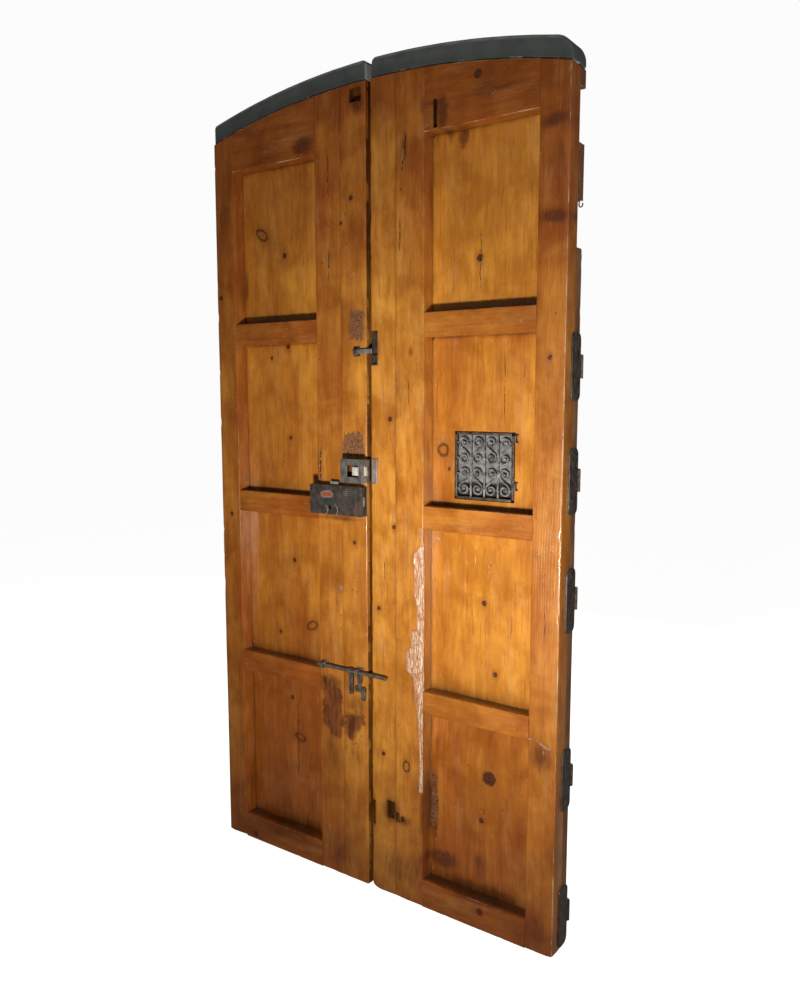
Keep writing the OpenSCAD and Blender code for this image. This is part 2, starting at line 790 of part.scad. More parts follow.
stile_board_outer(1);  // right_stile_board_outer
top_rail(1);  // right_top_rail
mid_rail(1, 0);  // right_upper_rail
mid_rail(1, 1);  // right_second_rail
mid_rail(1, 2);  // right_lower_rail
rail(1, 0, bottom_rail_h);  // right_bottom_rail
panel(1, 0);  // right_panel_1
panel(1, 1);  // right_panel_2
panel(1, 2);  // right_panel_3
panel(1, 3);  // right_panel_4
back_boards(1);  // right_back_boards
top_strip(1);  // right_top_strip
door_hinge_plates(1);  // right_door_hinge_plates
hinge_screws(1);  // right_hinge_screws
lock_case();
lock_back_plate();
lock_bolt();
latch_case();
latch_bolt();
latch_strike();
slide_bolt_bar();
bolt_keepers();
bolt_hasp();
hasp_staple();
catch_plate();
catch_bar();
catch_socket();
keyhole_iron();
bent_nail();
grille();
grille_pintles();
grille_backing();
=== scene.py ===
import math

import bmesh
import bpy
import numpy as np
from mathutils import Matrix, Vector


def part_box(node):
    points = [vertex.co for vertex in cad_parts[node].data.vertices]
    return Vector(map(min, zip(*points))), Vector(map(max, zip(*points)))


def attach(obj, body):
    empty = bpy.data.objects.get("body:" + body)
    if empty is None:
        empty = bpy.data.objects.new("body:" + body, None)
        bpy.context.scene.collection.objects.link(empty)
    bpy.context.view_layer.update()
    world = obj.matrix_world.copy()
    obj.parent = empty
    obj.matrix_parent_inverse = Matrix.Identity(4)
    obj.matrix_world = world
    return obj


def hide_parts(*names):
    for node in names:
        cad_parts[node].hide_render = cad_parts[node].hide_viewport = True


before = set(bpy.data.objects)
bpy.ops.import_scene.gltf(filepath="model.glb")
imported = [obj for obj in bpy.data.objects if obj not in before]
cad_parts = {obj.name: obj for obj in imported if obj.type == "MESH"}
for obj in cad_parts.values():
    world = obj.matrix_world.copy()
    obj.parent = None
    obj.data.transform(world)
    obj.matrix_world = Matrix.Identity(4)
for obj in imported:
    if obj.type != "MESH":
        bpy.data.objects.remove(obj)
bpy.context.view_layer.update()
print("the frame is loaded")


# the door's own measures, read from the frame, in metres

def readDoor():
    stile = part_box("right_hinge_stile")
    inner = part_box("right_stile_board_inner")
    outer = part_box("right_stile_board_outer")
    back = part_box("right_back_boards")
    # each outer board's box ends at its rear face, where the meeting edge stands closest to the middle
    sloping = back[1].y - outer[1].y
    slopes = {1: (outer[0].x - back[0].x) / sloping,
              -1: (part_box("left_back_boards")[1].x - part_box("left_stile_board_outer")[1].x) / sloping}
    high, low = (inner[0].x, inner[1].z), (stile[0].x, stile[1].z)
    centre = (high[0] ** 2 + high[1] ** 2 - low[0] ** 2 - low[1] ** 2) / (2 * (high[1] - low[1]))
    rails = {n: (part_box("right_" + n)[0].z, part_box("right_" + n)[1].z)
             for n in ("upper_rail", "second_rail", "lower_rail", "bottom_rail")}
    return {"front": stile[0].y, "frameBack": stile[1].y, "rear": back[1].y, "stileX": stile[0].x,
            "hingeX": stile[1].x, "seamX": inner[0].x, "innerX": inner[1].x, "backGap": back[0].x,
            "slopes": slopes, "archCentre": centre, "archRadius": math.hypot(high[0], high[1] - centre),
            "topRail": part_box("right_top_rail")[0].z, "rails": rails,
            "panelFace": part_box("right_panel_1")[0].y, "panelBack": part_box("right_panel_1")[1].y}


door = readDoor()
front = door["front"]


def archHeight(x):
    return door["archCentre"] + np.sqrt(door["archRadius"] ** 2 - np.asarray(x, float) ** 2)


def meetingEdge(y, side=1):
    return door["backGap"] + door["slopes"][side] * (door["rear"] - y)


# small tools for meshes

def smoothNoise(points, size, seed):
    # value noise from 0 to 1, with cells of the given size or sizes
    places = np.asarray(points, float) / np.asarray(size, float) + 7.13 * seed
    base = np.floor(places).astype(np.int64)
    part = places - base
    part = part * part * (3 - 2 * part)
    total = np.zeros(len(places))
    for corner in range(8):
        step = np.array([corner & 1, corner >> 1 & 1, corner >> 2 & 1])
        cell = base + step
        mix = cell[:, 0] * 73856093 ^ cell[:, 1] * 19349663 ^ cell[:, 2] * 83492791 ^ (seed * 7919 + 101)
        mix = (mix ^ (mix >> 13)) * 1274126177
        value = ((mix ^ (mix >> 16)) & 0xFFFF) / 65535
        total += value * np.prod(np.where(step, part, 1 - part), axis=1)
    return total


def roughNoise(points, size, seed, layers=3):
    total, height, whole = 0, 1.0, 0
    for layer in range(layers):
        total = total + height * smoothNoise(points, np.asarray(size, float) / 2 ** layer, seed + layer)
        whole += height
        height /= 2
    return total / whole


def smoothStep(low, high, value):
    t = np.clip((np.asarray(value, float) - low) / (high - low), 0, 1)
    return t * t * (3 - 2 * t)


def meshPoints(mesh):
    found = np.empty(len(mesh.vertices) * 3)
    mesh.vertices.foreach_get("co", found)
    return found.reshape(-1, 3)


def setPoints(mesh, points):
    mesh.vertices.foreach_set("co", np.asarray(points, np.float32).ravel())
    mesh.update()


def setAttribute(mesh, name, values):
    values = np.asarray(values, np.float32)
    kind = "FLOAT_VECTOR" if values.ndim == 2 else "FLOAT"
    attribute = mesh.attributes.get(name) or mesh.attributes.new(name, kind, "POINT")
    attribute.data.foreach_set("vector" if values.ndim == 2 else "value", values.ravel())


def tidyNormals(mesh, merge=0.0):
    work = bmesh.new()
    work.from_mesh(mesh)
    if merge:
        bmesh.ops.remove_doubles(work, verts=work.verts, dist=merge)
    bmesh.ops.recalc_face_normals(work, faces=work.faces)
    work.to_mesh(mesh)
    work.free()


def smoothShade(mesh, degrees=35):
    mesh.polygons.foreach_set("use_smooth", [True] * len(mesh.polygons))
    mesh.set_sharp_from_angle(angle=math.radians(degrees))


def newObject(name, mesh):
    piece = bpy.data.objects.new(name, mesh)
    bpy.context.scene.collection.objects.link(piece)
    return piece


def makeMesh(name, points, faces):
    mesh = bpy.data.meshes.new(name)
    mesh.from_pydata([tuple(p) for p in points], [], faces)
    mesh.validate()
    tidyNormals(mesh)
    return mesh


def bakedMesh(piece):
    # the mesh after its modifiers, which are then removed
    graph = bpy.context.evaluated_depsgraph_get()
    made = bpy.data.meshes.new_from_object(piece.evaluated_get(graph))
    piece.modifiers.clear()
    piece.data = made
    return made


def joinMeshes(name, meshes):
    work = bmesh.new()
    for mesh in meshes:
        work.from_mesh(mesh)
    made = bpy.data.meshes.new(name)
    work.to_mesh(made)
    work.free()
    return made


def cutAway(mesh, cutters):
    piece = newObject("cutting", mesh)
    tool = newObject("cutter", joinMeshes("cutter", cutters))
    boolean = piece.modifiers.new("cut", "BOOLEAN")
    boolean.operation = "DIFFERENCE"
    boolean.solver = "EXACT"
    boolean.use_self = True
    boolean.object = tool
    bpy.context.view_layer.update()
    made = bakedMesh(piece)
    bpy.data.objects.remove(tool)
    bpy.data.objects.remove(piece)
    return made


def roughBlock(low, high, wobble=0.0012, seed=1, step=0.008):
    # a block with chiselled, slightly uneven faces
    work = bmesh.new()
    bmesh.ops.create_cube(work, size=1)
    for v in work.verts:
        v.co = [low[i] + (v.co[i] + 0.5) * (high[i] - low[i]) for i in range(3)]
    cuts = max(1, int(max(high[i] - low[i] for i in range(3)) / step))
    bmesh.ops.subdivide_edges(work, edges=work.edges, cuts=min(cuts, 8), use_grid_fill=True)
    mesh = bpy.data.meshes.new("block")
    work.to_mesh(mesh)
    work.free()
    points = meshPoints(mesh)
    moves = [roughNoise(points, 0.012, seed + 10 * i) - 0.5 for i in range(3)]
    setPoints(mesh, points + 2 * wobble * np.stack(moves, axis=1))
    return mesh


def roundBlock(centre, radius, start, end, sides=40, way="y"):
    # a round bar from start to end along y, x or z; centre gives its two other places
    work = bmesh.new()
    bmesh.ops.create_cone(work, segments=sides, radius1=radius, radius2=radius, depth=1, cap_ends=True)
    for v in work.verts:
        along = start + (v.co.z + 0.5) * (end - start)
        a, b = centre[0] + v.co.x, centre[1] + v.co.y
        v.co = {"y": (a, along, b), "x": (along, a, b), "z": (a, b, along)}[way]
    bmesh.ops.recalc_face_normals(work, faces=work.faces)
    mesh = bpy.data.meshes.new("round")
    work.to_mesh(mesh)
    work.free()
    return mesh


def sectionRings(corners, radii, steps, arcSteps=4):
    # rings round four-sided sections with worn corners: corners are (stations, 4, 2), radii (stations, 4)
    parts = []
    for i in range(4):
        here, after, before = corners[:, i], corners[:, (i + 1) % 4], corners[:, i - 1]
        toAfter = (after - here) / np.linalg.norm(after - here, axis=1, keepdims=True)
        toBefore = (before - here) / np.linalg.norm(before - here, axis=1, keepdims=True)
        start = here + toBefore * radii[:, i:i + 1]
        end = here + toAfter * radii[:, i:i + 1]
        for t in np.linspace(0, 1, arcSteps + 1):
            parts.append((1 - t) ** 2 * start + 2 * t * (1 - t) * here + t * t * end)
        nextStart = after - toAfter * radii[:, (i + 1) % 4:(i + 1) % 4 + 1]
        for t in steps[i]:
            parts.append(end + (nextStart - end) * t)
    return np.stack(parts, axis=1)


def sweptMesh(name, rings):
    # rings is (stations, points, 3); both ends are closed
    stations, count = rings.shape[:2]
    faces = []
    for s in range(stations - 1):
        for i in range(count):
            j = (i + 1) % count
            faces.append((s * count + i, s * count + j, (s + 1) * count + j, (s + 1) * count + i))
    faces.append(tuple(range(count)))
    faces.append(tuple((stations - 1) * count + i for i in range(count)))
    return makeMesh(name, rings.reshape(-1, 3), faces)


def stationList(length, step, ends, fine=()):
    # distances along a timber, closer at both ends and in the fine stretches
    found = list(np.arange(ends, length - ends, step))
    found += [0, ends * 0.35, length - ends * 0.35, length - ends, length]
    for low, high, small in fine:
        found = [d for d in found if not low < d < high] + list(np.arange(low, high, small))
    return np.array(sorted(set(round(d, 5) for d in found)))


# what the boards show: knots as (across, up, radius), and the outlines of stains, scars and worn patches,
# in metres
woodMarks = {
    "knots": [(-0.375, 2.045, 0.009), (-0.365, 1.750, 0.008), (-0.440, 1.715, 0.006),
              (-0.360, 1.450, 0.007), (-0.350, 1.035, 0.008), (-0.420, 0.775, 0.006),
              (-0.370, 0.547, 0.008), (-0.515, 0.020, 0.010), (-0.628, 1.920, 0.009),
              (0.375, 2.446, 0.013), (0.361, 1.972, 0.010), (0.083, 1.520, 0.008), (0.097, 1.193, 0.007),
              (0.039, 0.933, 0.007), (0.056, 0.464, 0.007), (0.264, 1.376, 0.005), (0.388, 0.988, 0.009),
              (0.427, 0.780, 0.008), (0.411, 0.458, 0.023), (0.387, 0.319, 0.008), (0.410, 0.057, 0.012),
              (-0.062, 2.180, 0.008), (-0.055, 1.130, 0.006), (0.602, 1.690, 0.007),
              (-0.100, 2.110, 0.005), (-0.600, 1.180, 0.007)],
    "rings": [(-0.475, 2.120, 0.015, 1.9, 35), (-0.275, 0.818, 0.014, 1.7, -25),
              (-0.335, 0.410, 0.013, 1.8, 10), (0.243, 1.431, 0.019, 1.0, 0), (0.144, 0.444, 0.018, 0.7, 0)],
    "cracks": [(0.363, 1.880, 2.060, 0.0011), (-0.192, 1.310, 1.430, 0.0024),
               (-0.150, 2.180, 2.330, 0.0013), (-0.345, 0.240, 0.560, 0.0014),
               (0.137, 2.262, 2.345, 0.0022), (0.127, 2.225, 2.300, 0.0022), (0.118, 1.990, 2.110, 0.0016),
               (0.150, 1.560, 1.640, 0.0010), (0.062, 1.010, 1.090, 0.0010),
               (-0.150, 1.930, 2.050, 0.0012), (-0.130, 0.900, 1.010, 0.0012),
               (0.603, 0.930, 1.010, 0.0009), (0.445, 1.500, 1.720, 0.0008)],
    "stains": [[(-0.195, 0.700), (-0.180, 0.676), (-0.150, 0.655), (-0.106, 0.638), (-0.106, 0.506),
                (-0.125, 0.470), (-0.160, 0.480), (-0.195, 0.510)],
               [(-0.096, 0.565), (-0.030, 0.580), (-0.012, 0.560), (-0.045, 0.510), (-0.070, 0.462),
                (-0.100, 0.500)],
               [(0.290, 2.322), (0.327, 2.322), (0.312, 2.300), (0.308, 2.276)]],
    "scars": [[(0.188, 1.200), (0.194, 1.150), (0.170, 1.122), (0.172, 0.986), (0.181, 0.960), (0.176, 0.884),
               (0.160, 0.882), (0.158, 0.830), (0.140, 0.812), (0.142, 0.752), (0.168, 0.730), (0.172, 0.672),
               (0.184, 0.605), (0.190, 0.480), (0.188, 0.370), (0.206, 0.370), (0.206, 1.120),
               (0.198, 1.200)],
              [(0.550, 0.634), (0.562, 0.638), (0.575, 0.631), (0.560, 0.626)],
              [(0.580, 0.643), (0.598, 0.634), (0.614, 0.624), (0.636, 0.618), (0.634, 0.610),
               (0.606, 0.614), (0.588, 0.626)],
              [(0.600, 0.606), (0.624, 0.604), (0.620, 0.598), (0.602, 0.600)],
              [(-0.122, 0.985), (-0.105, 0.995), (-0.100, 0.972), (-0.118, 0.962)]],
    "patches": [[(-0.072, 1.850), (-0.012, 1.846), (-0.012, 1.752), (-0.072, 1.760)],
                [(-0.100, 1.475), (-0.012, 1.480), (-0.012, 1.396), (-0.102, 1.398)],
                [(-0.198, 1.420), (-0.190, 1.420), (-0.188, 1.320), (-0.198, 1.318)],
                [(0.204, 0.420), (0.222, 0.430), (0.236, 0.330), (0.228, 0.250), (0.204, 0.240)]],
    # smudges as (across, up, reach across, reach up, strength); the first is painted shade on the wood seen
    # through the latch case's window
    "smudgesAndShade": [(-0.060, 1.358, 0.020, 0.028, 2.50), (0.605, 2.290, 0.050, 0.022, 0.75),
                (0.605, 2.050, 0.055, 0.020, 0.75), (0.610, 2.170, 0.045, 0.11, 0.40),
                (0.262, 2.365, 0.020, 0.060, 0.80), (0.420, 2.400, 0.150, 0.030, 0.40),
                (0.200, 2.400, 0.080, 0.030, 0.35), (0.307, 2.305, 0.022, 0.030, 0.55),
                (0.132, 2.290, 0.018, 0.075, 0.45), (0.215, 2.320, 0.020, 0.070, 0.40),
                (-0.250, 2.360, 0.050, 0.040, 0.65), (-0.400, 2.340, 0.100, 0.030, 0.40),
                (-0.040, 2.455, 0.035, 0.045, 0.70), (-0.055, 2.090, 0.020, 0.060, 0.35),
                (-0.590, 2.200, 0.040, 0.150, 0.35), (-0.140, 2.000, 0.030, 0.090, 0.30),
                (-0.550, 1.960, 0.012, 0.100, 0.55), (-0.600, 1.500, 0.040, 0.220, 0.30),
                (0.020, 1.730, 0.030, 0.060, 0.65), (0.158, 1.716, 0.015, 0.020, 0.45),
                (0.100, 1.530, 0.030, 0.040, 0.30), (-0.196, 1.370, 0.008, 0.080, 0.80),
                (-0.205, 1.318, 0.022, 0.014, 0.85), (-0.120, 1.205, 0.120, 0.012, 0.55),
                (-0.040, 1.800, 0.045, 0.060, 0.45), (-0.055, 1.440, 0.055, 0.050, 0.45),
                (-0.150, 0.660, 0.060, 0.030, 0.60), (-0.060, 0.600, 0.060, 0.040, 0.50),
                (-0.150, 0.420, 0.060, 0.090, 0.45), (-0.060, 0.430, 0.045, 0.070, 0.40),
                (0.085, 0.285, 0.040, 0.050, 0.75), (0.130, 0.262, 0.030, 0.020, 0.70),
                (0.010, 0.260, 0.020, 0.070, 0.80), (0.215, 0.330, 0.020, 0.130, 0.80),
                (0.250, 0.155, 0.060, 0.030, 0.80), (0.600, 0.590, 0.045, 0.050, 0.60),
                (0.545, 0.610, 0.030, 0.030, 0.45), (0.400, 0.100, 0.170, 0.030, 0.55),
                (0.120, 0.100, 0.120, 0.090, 0.45), (-0.350, 0.080, 0.220, 0.060, 0.45),
                (0.600, 0.080, 0.060, 0.100, 0.40), (-0.120, 0.080, 0.110, 0.080, 0.40),
                (0.225, 1.520, 0.012, 0.100, 0.30), (0.240, 0.520, 0.030, 0.060, 0.35),
                (0.387, 0.180, 0.030, 0.060, 0.40), (-0.300, 0.750, 0.060, 0.050, 0.35)],
}


def outlineDistance(x, z, outline):
    # distance to an outline, negative inside it
    places = np.stack([x, z], axis=1)
    nearest = np.full(len(places), 9.0)
    inside = np.zeros(len(places), bool)
    for (x0, z0), (x1, z1) in zip(outline, outline[1:] + outline[:1]):
        way = np.array([x1 - x0, z1 - z0])
        off = places - (x0, z0)
        t = np.clip(off @ way / (way @ way), 0, 1)
        nearest = np.minimum(nearest, np.linalg.norm(off - t[:, None] * way, axis=1))
        crosses = (z0 > z) != (z1 > z)
        inside ^= crosses & (x < x0 + (z - z0) * (x1 - x0) / (z1 - z0 + 1e-12))
    return np.where(inside, -nearest, nearest)


def markDistance(kind, x, z):
    return np.min([outlineDistance(x, z, o) for o in woodMarks[kind]], axis=0)


def markWood(mesh, spec):
    # writes what the wood materials read: grain, knot, marks and wear, with painted shade carried in the tone
    # and the dirt
    points = meshPoints(mesh)
    x, y, z = points.T
    side = spec["side"]
    leafX = x * side
    lying = spec.get("lying", False)
    across, along = (z, x) if lying else (x, z)
    heart = spec["heart"]
    shift = spec["seed"] * 0.731
    setAttribute(mesh, "grain", np.stack([across - heart, y - front, along + shift], axis=1))
    knot = np.tile([1.0, 1.0, 0.001], (len(points), 1))
    crack = np.tile([1.0, 9.0, 0.001], (len(points), 1))
    best = np.full(len(points), 9.0)

    def shows(kx, kz):
        inX = spec["low"][0] - 0.01 < kx < spec["high"][0] + 0.01
        return inX and spec["low"][1] - 0.01 < kz < spec["high"][1] + 0.01

    if spec.get("faced", True):
        knots = [(kx, kz, r, 1.0, 0, 1) for kx, kz, r in woodMarks["knots"]]
        knots += [(kx, kz, r, stretch, turn, -1) for kx, kz, r, stretch, turn in woodMarks["rings"]]
        for kx, kz, radius, stretch, turn, style in [k for k in knots if shows(k[0], k[1])]:
            c, s = math.cos(math.radians(turn)), math.sin(math.radians(turn))
            dx = ((x - kx) * c - (z - kz) * s) / stretch
            dz = (x - kx) * s + (z - kz) * c
            closer = np.hypot(dx, dz) / radius < best
            best[closer] = (np.hypot(dx, dz) / radius)[closer]
            size = np.full(len(dx), style * radius)
            knot[closer] = np.stack([dz, dx, size] if lying else [dx, dz, size], axis=1)[closer]
        best[:] = 9.0
        for kx, z0, z1, width in [k for k in woodMarks["cracks"] if shows(k[0], (k[1] + k[2]) / 2)]:
            dz = (z - (z0 + z1) / 2) / (z1 - z0) * 2
            closer = np.hypot(x - kx, np.maximum(np.abs(dz) - 1, 0)) < best
            best[closer] = np.hypot(x - kx, np.maximum(np.abs(dz) - 1, 0))[closer]
            crack[closer] = np.stack([x - kx, dz, np.full(len(dz), width)], axis=1)[closer]
    setAttribute(mesh, "knot", knot)
    setAttribute(mesh, "crack", crack)
    # the smudges also carry painted shade behind the latch
    smudgeAndShade = np.zeros(len(points))
    for kx, kz, reachX, reachZ, amount in [k for k in woodMarks["smudgesAndShade"] if k[0] * side > 0
                                           and spec.get("faced", True)]:
        away = ((x - kx) / reachX) ** 2 + ((z - kz) / reachZ) ** 2
        smudgeAndShade = np.maximum(smudgeAndShade, amount * np.exp(-away))
    setAttribute(mesh, "smudgeAndShade", smudgeAndShade)
    deep = np.clip(y - spec.get("face", front) - 0.012, 0, 1) * 2 if spec.get("faced", True) else 1.0
    marks = [markDistance(kind, x, z) + deep for kind in ("stains", "scars", "patches")]
    setAttribute(mesh, "marks", np.stack(marks, axis=1))
    edge = spec["edge"](leafX, y, z)
    dirt = spec["dirt"](leafX, y, z) if "dirt" in spec else np.full(len(points), 1.0)
    # painted shade: inside the hollows the wood is darkened fully, as if shade falls there
    for low, high in spec.get("hollows", []):
        within = (x > low[0] - 0.002) & (x < high[0] + 0.002) & (z > low[1] - 0.002) & (z < high[1] + 0.002)
        dirt = np.where(within & (y > front + 0.0025) & (y < front + spec.get("sooty", 0.034)),
                        spec.get("soot", 0.0), dirt)
    tone = np.full(len(points), spec["tone"]) if np.isscalar(spec["tone"]) else spec["tone"](leafX, y, z)
    setAttribute(mesh, "wearAndShade", np.stack([edge, tone, dirt], axis=1))


def finishPiece(name, mesh, body, node, material, shade=35):
    mesh.materials.clear()
    mesh.materials.append(material)
    smoothShade(mesh, shade)
    piece = newObject(name, mesh)
    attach(piece, body)
    if node:
        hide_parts(*([node] if isinstance(node, str) else node))
    return piece


def turnedOver(points, side):
    return points * (side, 1, 1)


def arrisWear(along, base, seed, chips=0.0):
    # the radius of a worn edge along a timber, with the odd chip
    places = np.stack([along, np.zeros_like(along), np.full_like(along, seed * 1.7)], axis=1)
    soft = roughNoise(places, 0.11, seed)
    chip = smoothStep(0.74, 0.86, smoothNoise(places, 0.021, seed + 5))
    return base * (0.5 + 1.1 * soft) + chips * chip


uprightFinish = {
    "endWear": 0.003,     # rounding of the timbers' ends
    "step": 0.012,        # spacing of the rings along a timber
    "sideStep": 0.013,    # spacing of the points round it
    "inset": 0.0005,      # how far hidden sides keep back from their neighbours
    "wave": 0.0008,       # unevenness of the planed faces
    "ragged": 0.0045,     # how far the worn foot is broken up
}


def uprightMesh(name, spec):
    # a full-height timber under the arch; x0 and x1 may be functions of depth
    look = uprightFinish
    side = spec["side"]
    x0 = spec["x0"] if callable(spec["x0"]) else (lambda y: spec["x0"])
    x1, y0, y1 = spec["x1"], spec["y0"], spec["y1"]
    height = float(archHeight(max(x0(y0), 0)))
    along = stationList(height, spec.get("step", look["step"]), look["endWear"], spec.get("fine", ()))
    ends = np.minimum(along, height - along)
    inset = look["endWear"] * np.clip(1 - ends / look["endWear"], 0, 1) ** 1.6
    seed = spec["seed"]
    wave = look["wave"] * roughNoise(np.stack([along, along * 0, along * 0], axis=1), 0.3, seed + 3)
    corners = np.zeros((len(along), 4, 2))
    for i, (x, y) in enumerate([(x0(y0), y0), (x1, y0), (x1, y1), (x0(y1), y1)]):
        corners[:, i, 0] = x + inset * (1 if i in (0, 3) else -1)
        corners[:, i, 1] = y + inset * (1 if i < 2 else -1) + (wave if i < 2 else 0)
    radii = np.stack([arrisWear(along, r, seed + 11 * i, c) for i, (r, c) in enumerate(spec["radii"])],
                     axis=1)
    steps = []
    for i in range(4):
        length = np.linalg.norm(corners[len(along) // 2, (i + 1) % 4] - corners[len(along) // 2, i])
        steps.append(np.linspace(0, 1, max(2, int(length / spec.get("sideStep", look["sideStep"])))
                                 + 1)[1:-1])
    if "frontSteps" in spec:
        steps[0] = spec["frontSteps"]
    rings = sectionRings(corners, radii, steps)
    share = np.repeat((along / height)[:, None], rings.shape[1], axis=1)
    top = archHeight(np.clip(rings[..., 0], 0, None))
    ragged = smoothNoise(np.stack([rings[..., 0].ravel(), rings[..., 1].ravel(), top.ravel() * 0], axis=1),
                         0.019, seed + 9)
    foot = look["ragged"] * ragged.reshape(top.shape) ** 2
    if "foot" in spec:
        foot = foot + spec["foot"](rings[..., 0])
    points = np.stack([rings[..., 0], rings[..., 1], foot + share * (top - foot)], axis=2)
    planed = look["wave"] * roughNoise(points.reshape(-1, 3), (0.05, 0.2, 0.16),
                                       seed + 7).reshape(points.shape[:2])
    points[..., 1] += planed * (points[..., 1] < y0 + 0.004)
    if "carve" in spec:
        points = spec["carve"](points)
    mesh = sweptMesh(name, turnedOver(points, side))
    if spec.get("cuts"):
        mesh = cutAway(mesh, [c for c in spec["cuts"]])
    return mesh


def railMesh(name, spec):
    # a timber lying between two uprights; z1 may follow the arch
    look = uprightFinish
    x0, x1, y0, y1 = spec["x0"], spec["x1"], spec["y0"], spec["y1"]
    length = x1 - x0
    along = stationList(length, spec.get("step", look["step"]), look["endWear"] / 3, spec.get("fine", ()))
    seed = spec["seed"]
    foot = np.full(len(along), spec["z0"])
    head = archHeight(x0 + along) if spec["z1"] == "arch" else np.full(len(along), spec["z1"])
    corners = np.stack([np.stack([foot, foot * 0 + y0], 1), np.stack([head, foot * 0 + y0], 1),
                        np.stack([head, foot * 0 + y1], 1), np.stack([foot, foot * 0 + y1], 1)], axis=1)
    radii = np.stack([arrisWear(along, r, seed + 11 * i, c) for i, (r, c) in enumerate(spec["radii"])],
                     axis=1)
    steps = []
    for i in range(4):
        side = np.linalg.norm(corners[0, (i + 1) % 4] - corners[0, i])
        steps.append(np.linspace(0, 1, max(2, int(side / look["sideStep"])) + 1)[1:-1])
    rings = sectionRings(corners, radii, steps)
    across = np.repeat((x0 + along)[:, None], rings.shape[1], axis=1)
    points = np.stack([across, rings[..., 1], rings[..., 0]], axis=2)
    planed = look["wave"] * roughNoise(points.reshape(-1, 3), (0.2, 0.05, 0.03),
                                       seed + 7).reshape(points.shape[:2])
    points[..., 1] += planed * (points[..., 1] < y0 + 0.004)
    mesh = sweptMesh(name, turnedOver(points, spec["side"]))
    if spec.get("cuts"):
        mesh = cutAway(mesh, spec["cuts"])
    return mesh


panelFinish = {"grid": 0.011, "cup": 0.0016, "tuck": 0.0015, "wave": 0.0009}


def panelMesh(name, spec):
    # a thin panel between the timbers, a little cupped, tucked behind their edges
    look = panelFinish
    x0, x1 = spec["x0"] - look["tuck"], spec["x1"] + look["tuck"]
    z0, z1 = spec["z0"] - look["tuck"], spec["z1"] + look["tuck"]
    columns = max(4, int((x1 - x0) / look["grid"]))
    rows = max(4, int((z1 - z0) / look["grid"]))
    xs, zs = np.linspace(x0, x1, columns + 1), np.linspace(z0, z1, rows + 1)
    gridX, gridZ = np.meshgrid(xs, zs)
    flat = np.stack([gridX.ravel(), np.zeros(gridX.size), gridZ.ravel()], axis=1)
    cup = look["cup"] * (((gridX.ravel() - (x0 + x1) / 2) / (x1 - x0) * 2) ** 2) * spec.get("cupSide", 1)
    wave = look["wave"] * roughNoise(flat, (0.06, 1, 0.25), spec["seed"])
    face = flat + np.stack([cup * 0, spec["y0"] + cup + wave, cup * 0], axis=1)
    back = flat + (0, spec["y1"], 0)
    points = np.concatenate([face, back])
    width, count = columns + 1, flat.shape[0]
    faces = []
    for r in range(rows):
        for c in range(columns):
            a = r * width + c
            faces.append((a, a + 1, a + width + 1, a + width))
            faces.append((count + a, count + a + width, count + a + width + 1, count + a + 1))
    rim = list(range(width)) + [r * width + columns for r in range(1, rows + 1)]
    rim += [rows * width + c for c in range(columns - 1, -1, -1)]
    rim += [r * width for r in range(rows - 1, 0, -1)]
    for a, b in zip(rim, rim[1:] + rim[:1]):
        faces.append((a, count + a, count + b, b))
    mesh = makeMesh(name, turnedOver(points, spec["side"]), faces)
    if spec.get("cuts"):
        mesh = cutAway(mesh, spec["cuts"])
    return mesh


# the old cut-outs: low and high corners across and up, and their depth from the front
pockets = {
    "mortice": ((0.069, 0.257), (0.099, 0.315), 0.026),
    "step": ((0.101, 0.252), (0.119, 0.284), 0.010),
    "shallow": ((0.123, 0.256), (0.137, 0.276), 0.006),
    "slot": ((0.232, 2.331), (0.246, 2.408), 0.018),
    "edgePocket": ((-0.010, 0.219), (0.024, 0.301), 0.030),
    "catchNotch": ((-0.010, 1.680), (0.038, 1.783), 0.010),
}
ironHole = {"centre": (0.158, 1.722), "radius": 0.014, "depth": 0.024}
knotHole = {"centre": (-0.012, 1.356), "radius": 0.0085, "depth": 0.012}
leftCorner = {"low": (-0.066, 2.452), "high": (-0.022, 2.492), "depth": 0.026}
footCorner = 0.030
edgeCutouts = {"width": 0.022, "spans": [(1.975, 2.098), (2.240, 2.380)]}


def pocketBlock(name, seed):
    low, high, depth = pockets[name]
    return roughBlock((low[0], front - 0.006, low[1]), (high[0], front + depth, high[1]), 0.0009, seed)


gougeLook = {"depth": 0.0042, "arris": 0.0060, "splinter": 0.0036}


def carveGouge(points):
    # tears splinters out of the meeting stile beside the panels
    x, y, z = points.reshape(-1, 3).T
    d = markDistance("scars", x, z)
    fibres = roughNoise(np.stack([x, x * 0, z], axis=1), (0.0042, 1, 0.07), 41)
    flakes = smoothNoise(np.stack([x, x * 0, z], axis=1), (0.009, 1, 0.020), 47)
    inside = smoothStep(0.0015, -0.0045, d + 0.004 * (fibres - 0.5))
    upper = 0.45 + 0.55 * smoothStep(0.60, 0.70, z)
    depth = inside * upper * (gougeLook["depth"] * flakes + gougeLook["splinter"] * fibres
                              + gougeLook["arris"] * smoothStep(0.186, 0.203, x))
    moved = np.where(y < front + 0.018, np.maximum(y, front + depth + 0.25 * (y - front)), y)
    made = points.reshape(-1, 3).copy()
    made[:, 1] = np.where(inside > 0.01, moved, y)
    return made.reshape(points.shape)


def wornFoot(x):
    # the foot rises in a rounded corner beside the meeting edge
    near = np.clip(footCorner - (x - door["backGap"] - 0.004), 0, footCorner)
    return footCorner - np.sqrt(footCorner ** 2 - near ** 2)


